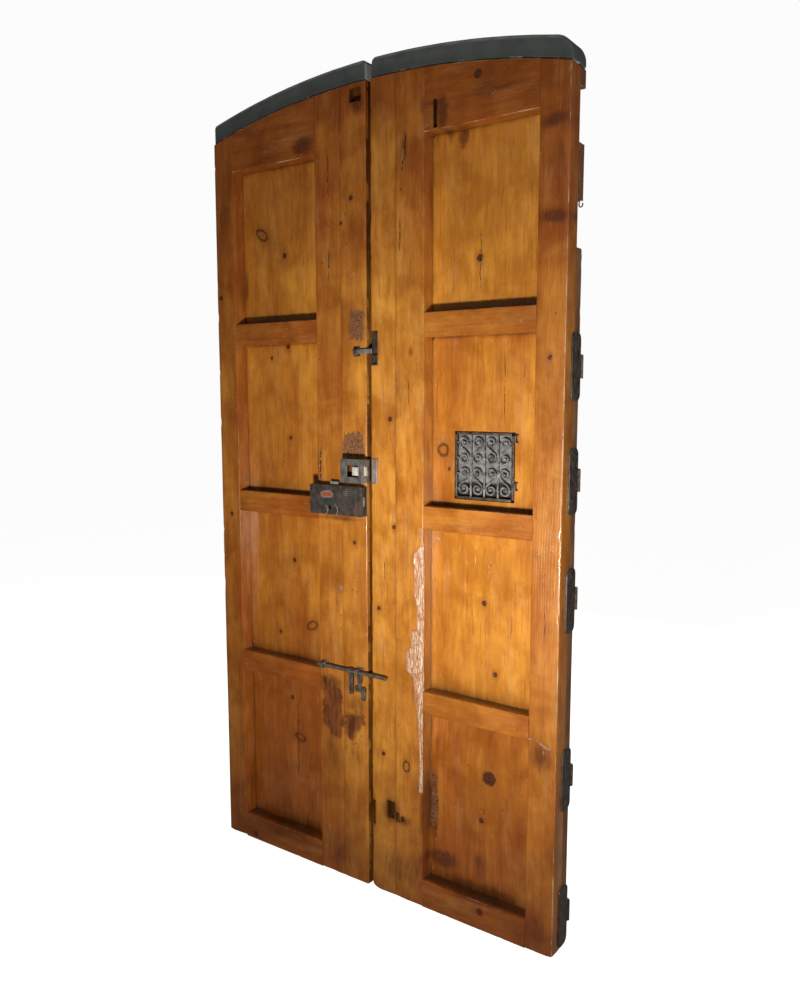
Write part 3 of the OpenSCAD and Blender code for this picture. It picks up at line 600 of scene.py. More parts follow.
def exposedEdges(upright=(), level=(), face=front, ends=1.0):
    # distance to the arrises that rub; each has a share, smaller ones count as farther away
    def distance(x, y, z):
        off = np.abs(y - face)
        found = [np.hypot(archHeight(x) - z, off) / ends, np.hypot(z, off) / ends]
        found += [np.hypot(x - edge, off) / share for edge, share in upright]
        found += [np.hypot(z - edge, off) / share for edge, share in level]
        return np.min(found, axis=0)
    return distance


# dirt near a panel's edges, and painted shadow: above its foot, where the rail below casts shade, the
# darkening reaches about four times as far
def panelDirtAndShadow(x0, x1, z0, z1):
    def distance(x, y, z):
        return np.minimum(np.minimum(x - x0, x1 - x), np.minimum((z - z0) * 0.26, z1 - z))
    return distance


def seamDirtAndMeetingShade(name, side):
    # the glued seam is dirty; the face that meets the other leaf is darkened as painted shade between the
    # leaves
    def distance(x, y, z):
        found = 0.0030 + np.abs(x - door["seamX"]) * 2.4
        if name == "stile_board_outer":
            meeting = (x < meetingEdge(y, side) + 0.0015) & (y > front + 0.0042)
            found = np.where(meeting, 0.0, found)
        return found
    return distance


def ledgeDirtAndShade(top):
    # dirt and painted shade: the ledge behind a rail's front arris is darkened
    def distance(x, y, z):
        return 0.0004 + np.clip(top - z, 0, None) * 0.8 + np.clip(front + 0.0075 - y, 0, None) * 2.0
    return distance


# how red each timber's finish is, from 0, golden, to 1, red-brown
tones = {"hinge_stile": (0.62, 0.72), "stile_board_inner": (0.34, 0.58), "stile_board_outer": (0.10, 0.36),
         "top_rail": (1.00, 0.92), "upper_rail": (0.70, 0.86), "second_rail": (0.70, 0.90),
         "lower_rail": (0.66, 0.95), "bottom_rail": (1.05, 0.95),
         "panels": [(-0.25, 0.02), (0.42, 0.34), (0.16, 0.60), (0.72, 1.15)]}


# arrises that show rubbed wood: place across and share, for the right leaf and the left
rubbedEdges = {"hinge_stile": ([(door["hingeX"], 0.9), (door["stileX"], 0.25)],
                               [(door["hingeX"], 0.6), (door["stileX"], 0.25)]),
               "stile_board_inner": ([(door["innerX"], 0.30)], [(door["innerX"], 0.20)]),
               "stile_board_outer": ([(meetingEdge(front), 0.45)], [(meetingEdge(front, -1), 0.30)])}


def buildLeaf(sideName, side, materials):
    body = sideName + "_leaf"
    pick = 0 if side > 0 else 1
    y0, y1 = front, door["frameBack"]
    keep = uprightFinish["inset"]
    height = float(archHeight(door["backGap"]))
    right = side > 0
    base = 100 if right else 300

    def plan(x0, x1, z0=-0.01, z1=height):
        a, b = sorted((side * x0, side * x1))
        return {"low": (a, z0), "high": (b, z1)}

    def shadedTone(value):
        # painted shade: the finish is painted redder and darker towards the top, close under the arch and
        # towards the foot, where the light falls off
        def tone(x, y, z):
            top = 0.25 * smoothStep(0.115, 0.085, archHeight(x) - z + 0.02 * np.sin(x * 37))
            return value + 0.48 * smoothStep(1.75, 2.40, z) + 0.38 * smoothStep(0.50, 0.0, z) + top
        return tone

    cuts = {"outer": [], "inner": [], "top": []}
    centre, radius = ironHole["centre"], ironHole["radius"]
    hollows = [pockets[n][:2] for n in pockets] if right else [(leftCorner["low"], leftCorner["high"])]
    if right:
        hollows.append(((centre[0] - radius, centre[1] - radius), (centre[0] + radius, centre[1] + radius)))
        pit = knotHole["centre"][1]
        hollows.append(((door["innerX"] - 0.02, pit - 0.007), (door["innerX"] - 0.003, pit + 0.007)))
        outerPockets = ("mortice", "edgePocket", "catchNotch")
        cuts["outer"] = [pocketBlock(n, 60 + i) for i, n in enumerate(outerPockets)]
        cuts["inner"] = [pocketBlock("step", 70), pocketBlock("shallow", 71),
                         roundBlock(ironHole["centre"], ironHole["radius"], front - 0.005,
                                    front + ironHole["depth"]),
                         roundBlock(knotHole["centre"], knotHole["radius"],
                                    door["innerX"] - knotHole["depth"],
                                    door["innerX"] + 0.01, 16, "x")]
        cuts["top"] = [pocketBlock("slot", 72)]
    else:
        corner = leftCorner
        cuts["outer"] = [roughBlock((corner["low"][0], front - 0.006, corner["low"][1]),
                                    (corner["high"][0], front + corner["depth"], corner["high"][1]), 0.0016,
                                    73)]

    uprights = {
        "hinge_stile": {"x0": door["stileX"], "x1": door["hingeX"] - keep, "heart": side * 0.700,
                        "radii": [(0.0016, 0.002), (0.0034, 0.005), (0.001, 0), (0.001, 0)],
                        "fine": [(0.56, 0.68, 0.006)] if right else ()},
        "stile_board_inner": {"x0": door["seamX"] + 0.0002, "x1": door["innerX"], "heart": side * 0.165,
                              "radii": [(0.0003, 0.0006), (0.0018, 0.003), (0.001, 0), (0.0005, 0)],
                              "cuts": cuts["inner"]},
        "stile_board_outer": {"x0": lambda y: meetingEdge(y, side), "x1": door["seamX"] - 0.0002,
                              "heart": side * 0.020,
                              "radii": [(0.0034, 0.004), (0.0003, 0.0006), (0.0005, 0), (0.0012, 0)],
                              "cuts": cuts["outer"], "sideStep": 0.008 if right else 0.011},
    }
    if right:
        uprights["stile_board_inner"]["fine"] = [(0.36, 1.22, 0.0042)]
        uprights["stile_board_inner"]["frontSteps"] = np.concatenate([[0.1, 0.2, 0.3],
                                                                      np.arange(0.34, 0.995, 0.027)])
        uprights["stile_board_inner"]["carve"] = carveGouge
        uprights["stile_board_outer"]["foot"] = wornFoot
    for i, (name, spec) in enumerate(uprights.items()):
        spec.update(side=side, y0=y0, y1=y1, seed=base + i, tone=shadedTone(tones[name][pick]), hollows=hollows)
        x0 = door["backGap"] if callable(spec["x0"]) else spec["x0"]
        spec["edge"] = exposedEdges(rubbedEdges[name][pick])
        spec.update(plan(x0, spec["x1"]))
        if name != "hinge_stile":
            spec["dirt"] = seamDirtAndMeetingShade(name, side)
        mesh = uprightMesh(sideName + "_" + name, spec)
        markWood(mesh, spec)
        finishPiece(sideName + "Wood_" + name, mesh, body, sideName + "_" + name,
                    materials["frame"])

    rails = {"top_rail": (door["topRail"], "arch")}
    rails.update({n: door["rails"][n] for n in ("upper_rail", "second_rail", "lower_rail", "bottom_rail")})
    for i, (name, (z0, z1)) in enumerate(rails.items()):
        spec = {"side": side, "x0": door["innerX"] + 0.0003, "x1": door["stileX"] - 0.0003,
                "y0": y0 + 0.0006, "y1": y1,
                "z0": z0, "z1": z1, "seed": base + 20 + i, "lying": True, "heart": z0 + 0.025 + 0.013 * i,
                "radii": [(0.0014, 0.002), (0.0018, 0.0025), (0.001, 0), (0.001, 0)],
                "tone": shadedTone(tones[name][pick]), "cuts": cuts["top"] if name == "top_rail" else None,
                "hollows": hollows}
        if name == "top_rail":
            spec["radii"] = [(0.0022, 0.006), (0.0030, 0.003), (0.001, 0), (0.001, 0)]
        level = [(z0, 0.75)] if name == "top_rail" else [(z0, 0.35), (z1, 0.45)]
        spec["edge"] = exposedEdges(level=level)
        if z1 != "arch":
            spec["dirt"] = ledgeDirtAndShade(z1)
        spec.update(plan(door["innerX"], door["stileX"], z0, height if z1 == "arch" else z1))
        mesh = railMesh(sideName + "_" + name, spec)
        markWood(mesh, spec)
        finishPiece(sideName + "Wood_" + name, mesh, body, sideName + "_" + name,
                    materials["frame"])

    feet = [door["rails"][n][1] for n in ("upper_rail", "second_rail", "lower_rail", "bottom_rail")]
    heads = [door["topRail"]] + [door["rails"][n][0] for n in ("upper_rail", "second_rail", "lower_rail")]
    for i, (z0, z1) in enumerate(zip(feet, heads)):
        grilled = right and i == 1
        low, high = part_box("grille_backing") if grilled else (None, None)
        hole = []
        if grilled:
            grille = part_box("grille")
            lowZ, highZ = grille[0].z - 0.002, grille[1].z + 0.002
            highX = high.x + 0.001
            hole = [roughBlock((low.x - 0.001, door["panelFace"] - 0.01, lowZ),
                               (highX, door["panelBack"] + 0.01, highZ), 0.0006, 81)]
        spec = {"side": side, "x0": door["innerX"], "x1": door["stileX"], "y0": door["panelFace"],
                "y1": door["panelBack"], "z0": z0, "z1": z1, "seed": base + 40 + i, "cuts": hole,
                "face": door["panelFace"], "heart": side * (0.36 + 0.03 * math.sin(2.1 * i + side)),
                "tone": shadedTone(tones["panels"][i][pick]), "cupSide": 1 if i % 2 else -0.4}
        spec["edge"] = lambda x, y, z: np.full(len(x), 1.0)
        spec["dirt"] = panelDirtAndShadow(door["innerX"], door["stileX"], z0, z1)
        spec.update(plan(door["innerX"], door["stileX"], z0, z1))
        mesh = panelMesh(f"{sideName}_panel_{i + 1}", spec)
        markWood(mesh, spec)
        finishPiece(f"{sideName}Wood_panel_{i + 1}", mesh, body, f"{sideName}_panel_{i + 1}",
                    materials["panel"])

    count = 4
    pitch = (door["hingeX"] - door["backGap"]) / count
    meshes = []
    for i in range(count):
        x0 = door["backGap"] + i * pitch + (0.0006 if i else 0)
        x1 = door["backGap"] + (i + 1) * pitch - (0.0006 if i < count - 1 else keep)
        spec = {"side": side, "x0": (lambda y: meetingEdge(y, side)) if i == 0 else x0, "x1": x1,
                "y0": door["frameBack"] + 0.0002,
                "y1": door["rear"] - 0.0002, "seed": base + 60 + i,
                "heart": side * (x0 + 0.05 + 0.07 * (i % 2)),
                "radii": [(0.0006, 0), (0.0006, 0), (0.0022, 0.003), (0.0022, 0.003)], "step": 0.018,
                "sideStep": 0.02, "tone": 0.3 + 0.4 * ((i * 7 + base) % 5) / 5, "faced": False}
        if right:
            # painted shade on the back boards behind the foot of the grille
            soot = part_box("grille")
            spec.update(hollows=[((soot[0].x - 0.01, soot[0].z - 0.012),
                                  (soot[1].x + 0.012, soot[0].z + 0.075))],
                        sooty=0.064, soot=-0.006)
        if right and i == 0:
            spec["foot"] = wornFoot
            spec["sideStep"] = 0.010
        if right and i == count - 1:
            edge = door["hingeX"] - edgeCutouts["width"]
            spec["cuts"] = [roughBlock((edge, door["frameBack"] - 0.001, z0),
                                       (door["hingeX"] + 0.01, door["rear"] + 0.01, z1), 0.0014, 90 + k)
                            for k, (z0, z1) in enumerate(edgeCutouts["spans"])]
        xNear = door["backGap"] if i == 0 else x0
        spec["edge"] = exposedEdges([(xNear, 0.6), (x1, 0.6)], face=door["rear"])
        spec.update(plan(x0, x1))
        mesh = uprightMesh("board", spec)
        markWood(mesh, spec)
        meshes.append(mesh)
    finishPiece(sideName + "Wood_back_boards", joinMeshes(sideName + "_back_boards", meshes), body,
                sideName + "_back_boards", materials["back"])


# shader tools

def addNode(tree, kind, links=None, **settings):
    made = tree.nodes.new(kind)
    for key, value in settings.items():
        setattr(made, key, value)
    for key, value in (links or {}).items():
        if isinstance(value, bpy.types.NodeSocket):
            tree.links.new(value, made.inputs[key])
        else:
            made.inputs[key].default_value = value
    return made


def calc(tree, operation, a, b=0.0, clamp=False):
    made = addNode(tree, "ShaderNodeMath", {0: a, 1: b}, operation=operation)
    made.use_clamp = clamp
    return made.outputs[0]


def plus(tree, a, b, clamp=False):
    return calc(tree, "ADD", a, b, clamp)


def minus(tree, a, b):
    return calc(tree, "SUBTRACT", a, b)


def times(tree, a, b, clamp=False):
    return calc(tree, "MULTIPLY", a, b, clamp)


def swung(tree, value, amount):
    # a value from 0 to 1, turned into one that swings about nothing
    return times(tree, minus(tree, value, 0.5), amount)


def spread(tree, value, low, high, toLow=0.0, toHigh=1.0):
    links = {"Value": value, "From Min": low, "From Max": high, "To Min": toLow, "To Max": toHigh}
    return addNode(tree, "ShaderNodeMapRange", links, interpolation_type="SMOOTHSTEP").outputs["Result"]


def noiseOf(tree, vector, scale, detail=3.0, roughness=0.5, distortion=0.0):
    links = {"Vector": vector, "Scale": scale, "Detail": detail, "Roughness": roughness,
             "Distortion": distortion}
    return addNode(tree, "ShaderNodeTexNoise", links).outputs["Fac"]


def stretched(tree, vector, amounts):
    return addNode(tree, "ShaderNodeVectorMath", {0: vector, 1: amounts}, operation="MULTIPLY").outputs[0]


def parted(tree, vector):
    return addNode(tree, "ShaderNodeSeparateXYZ", {0: vector}).outputs


def objectPlace(tree):
    return addNode(tree, "ShaderNodeTexCoord").outputs["Object"]


def mixed(tree, share, a, b, blend="MIX"):
    made = tree.nodes.new("ShaderNodeMix")
    made.data_type = "RGBA"
    made.blend_type = blend
    for index, value in ((0, share), (6, a), (7, b)):
        if isinstance(value, bpy.types.NodeSocket):
            tree.links.new(value, made.inputs[index])
        else:
            made.inputs[index].default_value = value if index == 0 else (*value, 1)[:4]
    return made.outputs[2]


def groupTree(name, takes, gives):
    tree = bpy.data.node_groups.new(name, "ShaderNodeTree")
    kinds = {"f": "NodeSocketFloat", "v": "NodeSocketVector", "c": "NodeSocketColor"}
    for socket, kind, value in takes:
        made = tree.interface.new_socket(socket, in_out="INPUT", socket_type=kinds[kind])
        if value is not None:
            made.default_value = value
    for socket, kind in gives:
        tree.interface.new_socket(socket, in_out="OUTPUT", socket_type=kinds[kind])
    return tree, tree.nodes.new("NodeGroupInput").outputs, tree.nodes.new("NodeGroupOutput").inputs


def useGroup(tree, group, links):
    made = tree.nodes.new("ShaderNodeGroup")
    made.node_tree = group
    for key, value in links.items():
        if isinstance(value, bpy.types.NodeSocket):
            tree.links.new(value, made.inputs[key])
        else:
            made.inputs[key].default_value = value
    return made.outputs


def makeGrainGroup():
    # growth rings and fibres that flow round the knots
    takes = [("Grain", "v", None), ("Knot", "v", None), ("Ring Spacing", "f", 0.007), ("Flow", "f", 0.85)]
    gives = [("Rings", "f"), ("Fibres", "f"), ("Streaks", "f"), ("Knot", "f"), ("Halo", "f"),
             ("Knot Rings", "f"), ("Knot Flecks", "f"), ("Cloud", "f")]
    tree, take, give = groupTree("pineGrain", takes, gives)
    put = tree.links.new
    knot = parted(tree, take["Knot"])
    radius = plus(tree, calc(tree, "ABSOLUTE", knot[2]), 0.0001)
    outlined = calc(tree, "LESS_THAN", knot[2], 0.0)
    wobble = noiseOf(tree, take["Grain"], 120, 2)
    across = calc(tree, "DIVIDE", knot[0], radius)
    along = calc(tree, "DIVIDE", knot[1], radius)
    near = calc(tree, "SQRT", plus(tree, times(tree, across, across), times(tree, along, along)))
    near = plus(tree, near, swung(tree, wobble, 0.55))
    rim = times(tree, spread(tree, near, 1.22, 1.02), spread(tree, near, 0.48, 0.80))
    disc = times(tree, spread(tree, near, 1.12, 0.80), minus(tree, 1.0, outlined))
    put(calc(tree, "MAXIMUM", disc, times(tree, times(tree, rim, outlined), 0.8)), give["Knot"])
    a2 = times(tree, times(tree, across, across), 0.16)
    z2 = times(tree, times(tree, along, along), 0.030)
    pull = calc(tree, "EXPONENT", times(tree, plus(tree, a2, z2), -1.0))
    put(times(tree, spread(tree, near, 3.2, 0.9), calc(tree, "EXPONENT", times(tree, a2, -1.0))),
        give["Halo"])
    ringFine = calc(tree, "SINE", times(tree, near, 17.0))
    put(plus(tree, times(tree, ringFine, 0.5), 0.5), give["Knot Rings"])
    put(spread(tree, noiseOf(tree, take["Grain"], 330, 2, 0.6), 0.62, 0.70), give["Knot Flecks"])
    grain = parted(tree, take["Grain"])
    shifted = minus(tree, grain[0], times(tree, times(tree, knot[0], pull), take["Flow"]))
    slow = noiseOf(tree, stretched(tree, take["Grain"], (5.0, 5.0, 0.9)), 1.0, 2)
    sway = swung(tree, slow, 0.075)
    bent = plus(tree, shifted, sway)
    rise = noiseOf(tree, stretched(tree, take["Grain"], (1.6, 1.6, 0.55)), 1.0, 1)
    depth = plus(tree, times(tree, minus(tree, rise, 0.35), 0.16), grain[1])
    far = calc(tree, "SQRT", plus(tree, times(tree, bent, bent), times(tree, depth, depth)))
    turns = calc(tree, "DIVIDE", far, take["Ring Spacing"])
    part = calc(tree, "FRACT", turns)
    ring = times(tree, calc(tree, "POWER", part, 2.2), spread(tree, part, 1.0, 0.90))
    put(ring, give["Rings"])
    flowed = addNode(tree, "ShaderNodeCombineXYZ", {0: bent, 1: grain[1], 2: grain[2]}).outputs[0]
    put(noiseOf(tree, stretched(tree, flowed, (620.0, 400.0, 26.0)), 1.0, 3, 0.6), give["Fibres"])
    put(noiseOf(tree, stretched(tree, flowed, (44.0, 30.0, 2.6)), 1.0, 4, 0.6, 0.5), give["Streaks"])
    put(noiseOf(tree, stretched(tree, take["Grain"], (9.0, 9.0, 2.6)), 1.0, 3, 0.55), give["Cloud"])
    return tree


def makeWearGroup():
    # where arrises are rubbed: a mask from the distance to the edge, broken by noise
    takes = [("Grain", "v", None), ("Distance", "f", 1.0), ("Reach", "f", 0.004), ("Amount", "f", 0.5)]
    tree, take, give = groupTree("rubbedEdge", takes, [("Mask", "f"), ("Soft", "f")])
    patchy = noiseOf(tree, stretched(tree, take["Grain"], (30.0, 30.0, 11.0)), 1.0, 4, 0.65)
    reach = times(tree, take["Reach"], plus(tree, times(tree, patchy, 2.6), -0.55))
    close = spread(tree, minus(tree, reach, take["Distance"]), 0.0, 0.0022)
    tree.links.new(times(tree, close, take["Amount"], clamp=True), give["Mask"])
    tree.links.new(calc(tree, "EXPONENT", times(tree, take["Distance"], -110.0)), give["Soft"])
    return tree


def makeScuffGroup():
    # fine scratches and knocks, any surface
    takes = [("Place", "v", None), ("Scale", "f", 1.0)]
    tree, take, give = groupTree("scuffs", takes, [("Scratches", "f"), ("Dents", "f"), ("Smears", "f")])
    place = addNode(tree, "ShaderNodeVectorMath", {0: take["Place"], "Scale": take["Scale"]},
                    operation="SCALE").outputs[0]
    lines = []
    for turn, size in ((0.35, 60.0), (-0.6, 90.0)):
        mapped = addNode(tree, "ShaderNodeMapping",
                         {"Vector": place, "Rotation": (0.2, turn, 0.1), "Scale": (size, size, size * 0.05)})
        cells = addNode(tree, "ShaderNodeTexVoronoi", {"Vector": mapped.outputs[0], "Scale": 1.0},
                        feature="DISTANCE_TO_EDGE").outputs[0]
        broken = noiseOf(tree, place, 14 + size * 0.1, 2)
        lines.append(times(tree, spread(tree, cells, 0.018, 0.0), spread(tree, broken, 0.56, 0.68)))
    tree.links.new(calc(tree, "MAXIMUM", lines[0], lines[1]), give["Scratches"])
    dots = addNode(tree, "ShaderNodeTexVoronoi",
                   {"Vector": place, "Scale": 38.0, "Randomness": 1.0}).outputs["Distance"]
    few = noiseOf(tree, place, 9.0, 2)
    tree.links.new(times(tree, spread(tree, dots, 0.16, 0.04), spread(tree, few, 0.52, 0.66)), give["Dents"])
    tree.links.new(noiseOf(tree, place, 6.5, 4, 0.6, 0.6), give["Smears"])
    return tree


def makeFinishGroup():
    # the figure of the wood, how red its finish is, and how cloudy and streaky it has gone
    takes = [("Grain", "v", None), ("Smears", "f", 0.5), ("Rings", "f", 0.5), ("Ring Share", "f", 0.1),
             ("Streaks", "f", 0.5), ("Fibres", "f", 0.5), ("Tone", "f", 0.5), ("Cloud", "f", 0.5)]
    gives = [("Brushed", "f"), ("Figure", "f"), ("Tone", "f"), ("Blotch", "f"), ("Haze", "f"),
             ("Dark Streaks", "f")]
    tree, take, give = groupTree("agedFinish", takes, gives)
    put = tree.links.new
    brushed = noiseOf(tree, stretched(tree, take["Grain"], (46, 46, 13)), 1.0, 4, 0.62)
    put(brushed, give["Brushed"])
    figure = plus(tree, times(tree, take["Rings"], take["Ring Share"]), times(tree, take["Streaks"], 0.60))
    figure = plus(tree, figure, times(tree, brushed, 0.45))
    figure = plus(tree, figure, times(tree, take["Fibres"], 0.16))
    put(spread(tree, figure, 0.40, 0.98), give["Figure"])
    put(plus(tree, take["Tone"], swung(tree, take["Cloud"], 1.9), clamp=True), give["Tone"])
    blotch = plus(tree, times(tree, take["Smears"], 0.55), times(tree, brushed, 0.45))
    put(spread(tree, blotch, 0.36, 0.66), give["Blotch"])
    cloudy = noiseOf(tree, stretched(tree, take["Grain"], (19, 19, 4.5)), 1.0, 5, 0.68)
    put(spread(tree, cloudy, 0.50, 0.72), give["Haze"])
    streaky = noiseOf(tree, stretched(tree, take["Grain"], (150, 90, 7.5)), 1.0, 4, 0.66)
    put(spread(tree, streaky, 0.55, 0.70), give["Dark Streaks"])
    return tree


def makeMarksGroup():
    # stains, worn patches and torn wood, from the distances to their outlines
    takes = [("Grain", "v", None), ("Marks", "v", None), ("Brushed", "f", 0.5)]
    gives = [(name, "f") for name in ("Patch", "Crumbs", "Stain", "Stain Tone", "Scar", "Splinter",
                                      "Scar Tone",
                                      "Skin", "Chips", "Rind")]
    tree, take, give = groupTree("oldMarks", takes, gives)
    put, grain = tree.links.new, take["Grain"]
    away = parted(tree, take["Marks"])
    flaked = noiseOf(tree, stretched(tree, grain, (95, 95, 30)), 1.0, 5, 0.72)
    patchEdge = plus(tree, away[2], times(tree, minus(tree, flaked, 0.46), 0.062))
    put(spread(tree, patchEdge, 0.0022, -0.0030), give["Patch"])
    put(spread(tree, noiseOf(tree, grain, 260, 3, 0.7), 0.36, 0.62), give["Crumbs"])
    stainEdge = plus(tree, away[0], swung(tree, noiseOf(tree, grain, 40, 5, 0.70), 0.062))
    put(spread(tree, stainEdge, 0.0060, -0.0110), give["Stain"])
    stainTone = noiseOf(tree, stretched(tree, grain, (60, 60, 12)), 1.0, 3)
    put(spread(tree, stainTone, 0.36, 0.66), give["Stain Tone"])
    splinter = noiseOf(tree, stretched(tree, grain, (420, 420, 22)), 1.0, 3, 0.65)
    put(splinter, give["Splinter"])
    torn = plus(tree, away[1], swung(tree, splinter, 0.018))
    put(spread(tree, torn, 0.0012, -0.0030), give["Scar"])
    put(spread(tree, splinter, 0.44, 0.64), give["Scar Tone"])
    core = spread(tree, plus(tree, away[1], swung(tree, take["Brushed"], 0.020)), -0.0015, -0.0075)
    put(minus(tree, 0.72, times(tree, core, 0.72)), give["Skin"])
    chips = noiseOf(tree, stretched(tree, grain, (260, 260, 90)), 1.0, 3, 0.7)
    put(spread(tree, chips, 0.54, 0.66), give["Chips"])
    put(spread(tree, calc(tree, "ABSOLUTE", minus(tree, torn, 0.0006)), 0.0022, 0.0006), give["Rind"])
    return tree


def makeSplitGroup():
    # open drying splits, from the place across, the place along and the width
    tree, take, give = groupTree("dryingSplits", [("Grain", "v", None), ("Split", "v", None)],
                                 [("Mask", "f")])
    place = parted(tree, take["Split"])
    swerve = swung(tree, noiseOf(tree, take["Grain"], 38, 3, 0.6), 0.012)
    inLine = calc(tree, "DIVIDE", calc(tree, "ABSOLUTE", plus(tree, place[0], swerve)), place[2])
    ends = spread(tree, calc(tree, "ABSOLUTE", place[1]), 1.0, 0.55)
    broken = spread(tree, noiseOf(tree, take["Grain"], 70, 3, 0.6), 0.36, 0.50)
    tree.links.new(times(tree, spread(tree, inLine, 1.5, 0.6), times(tree, ends, broken)), give["Mask"])
    return tree


def makeGrimeAndShadeGroup():
    # dark smudges, and the darkening near seams, ledges, hollows and panel edges; both are partly dirt and
    # partly painted shade
    takes = [("Smudge And Shade", "f", 0.0), ("Brushed", "f", 0.5), ("Distance", "f", 1.0), ("Cloud", "f", 0.5)]
    tree, take, give = groupTree("smudgeDirtAndShade", takes, [("Smudge And Shade", "f"), ("Dirt And Shade", "f")])
    ragged = plus(tree, take["Smudge And Shade"], swung(tree, take["Brushed"], 0.9))
    tree.links.new(spread(tree, ragged, 0.16, 0.62), give["Smudge And Shade"])
    darkening = calc(tree, "EXPONENT", times(tree, take["Distance"], -210.0))
    tree.links.new(times(tree, darkening, spread(tree, take["Cloud"], 0.25, 0.75, 0.5, 1.0)), give["Dirt And Shade"])
    return tree


def makeIronGroup():
    # cloudy tone, rust and pits, on iron or old paint
    takes = [("Place", "v", None), ("Cloud Scale", "f", 60.0), ("Spot Scale", "f", 162.0),
             ("Rust From", "f", 0.73),
             ("Rust To", "f", 0.85)]
    tree, take, give = groupTree("oldIron", takes,
                                 [("Cloud", "f"), ("Spots", "f"), ("Tone", "f"), ("Rust", "f")])
    put = tree.links.new
    cloud = noiseOf(tree, take["Place"], take["Cloud Scale"], 5, 0.62)
    spots = noiseOf(tree, take["Place"], take["Spot Scale"], 4, 0.7)
    put(cloud, give["Cloud"])
    put(spots, give["Spots"])
    put(spread(tree, cloud, 0.34, 0.66), give["Tone"])
    rust = plus(tree, spots, times(tree, cloud, 0.35))
    put(spread(tree, rust, take["Rust From"], take["Rust To"]), give["Rust"])
    return tree


groups = {"grain": makeGrainGroup(), "edge": makeWearGroup(), "scuffs": makeScuffGroup(),
          "finish": makeFinishGroup(), "marks": makeMarksGroup(), "split": makeSplitGroup(),
          "grimeAndShade": makeGrimeAndShadeGroup(), "iron": makeIronGroup()}


def startMaterial(name):
    material = bpy.data.materials.new(name)
    material.use_nodes = True
    tree = material.node_tree
    shader = tree.nodes["Principled BSDF"] if "Principled BSDF" in tree.nodes else None
    if shader is None:
        shader = tree.nodes.new("ShaderNodeBsdfPrincipled")
        tree.links.new(shader.outputs[0], tree.nodes.new("ShaderNodeOutputMaterial").inputs[0])
    return material, tree, shader


def attributeOf(tree, name):
    return addNode(tree, "ShaderNodeAttribute", attribute_name=name).outputs["Vector"]


# colours are linear red, green and blue
framePine = {
    "gold": (0.70, 0.320, 0.048), "late": (0.58, 0.232, 0.028), "red": (0.46, 0.142, 0.018),
    "redLate": (0.26, 0.062, 0.009), "haze": (0.82, 0.50, 0.20), "raw": (0.66, 0.44, 0.24),
    "knot": (0.120, 0.034, 0.008), "knotRim": (0.028, 0.009, 0.004), "fleck": (0.30, 0.21, 0.15),
    # the last colour on the next line serves for dirt and for painted shade
    "stain": (0.070, 0.016, 0.006), "stainPale": (0.24, 0.070, 0.020), "dirt": (0.022, 0.009, 0.004),
    "crumbDark": (0.045, 0.014, 0.006), "crumbPale": (0.33, 0.135, 0.055), "rind": (0.16, 0.045, 0.018),
    "tornDark": (0.42, 0.19, 0.090), "tornPale": (0.86, 0.68, 0.50), "tornSkin": (0.40, 0.165, 0.055),
    "chip": (0.24, 0.075, 0.028), "speck": (0.70, 0.50, 0.32),
    "blotch": (0.66, 0.54, 0.42), "clear": (1.13, 1.13, 1.13),
    "ringSpacing": 0.0085, "rings": 0.10, "roughness": 0.34, "gloss": 0.40, "bump": 0.0009, "edge": 0.70}
panelPine = dict(framePine, gold=(0.68, 0.300, 0.040), late=(0.58, 0.225, 0.025), ringSpacing=0.0105,
                 rings=0.09, blotch=(0.72, 0.60, 0.48), roughness=0.30, gloss=0.45)
backPine = dict(framePine, haze=(0.34, 0.22, 0.12), gold=(0.30, 0.155, 0.065), late=(0.20, 0.090, 0.034),
                red=(0.22, 0.098, 0.040), redLate=(0.13, 0.050, 0.020), raw=(0.40, 0.27, 0.16),
                ringSpacing=0.009, rings=0.55, roughness=0.66, gloss=0.06, bump=0.0016, edge=0.6)

# how strongly each layer covers the wood, in the order in which they are laid
pineShares = {"haze": 0.15, "streaks": 0.52, "smudgeAndShade": 0.72, "halo": 0.42, "knot": 1.0, "patch": 0.88,
              "stain": 0.92, "scar": 1.0, "rind": 0.32, "dirt": 0.92, "split": 0.9, "dents": 0.7,
              "specks": 0.35, "scratches": 0.28, "soft": 0.30, "rubbed": 1.0}
rubbedReach = 0.0045
speckPlace = {"away": (3.1, 7.7, 1.9), "scale": 1.35}


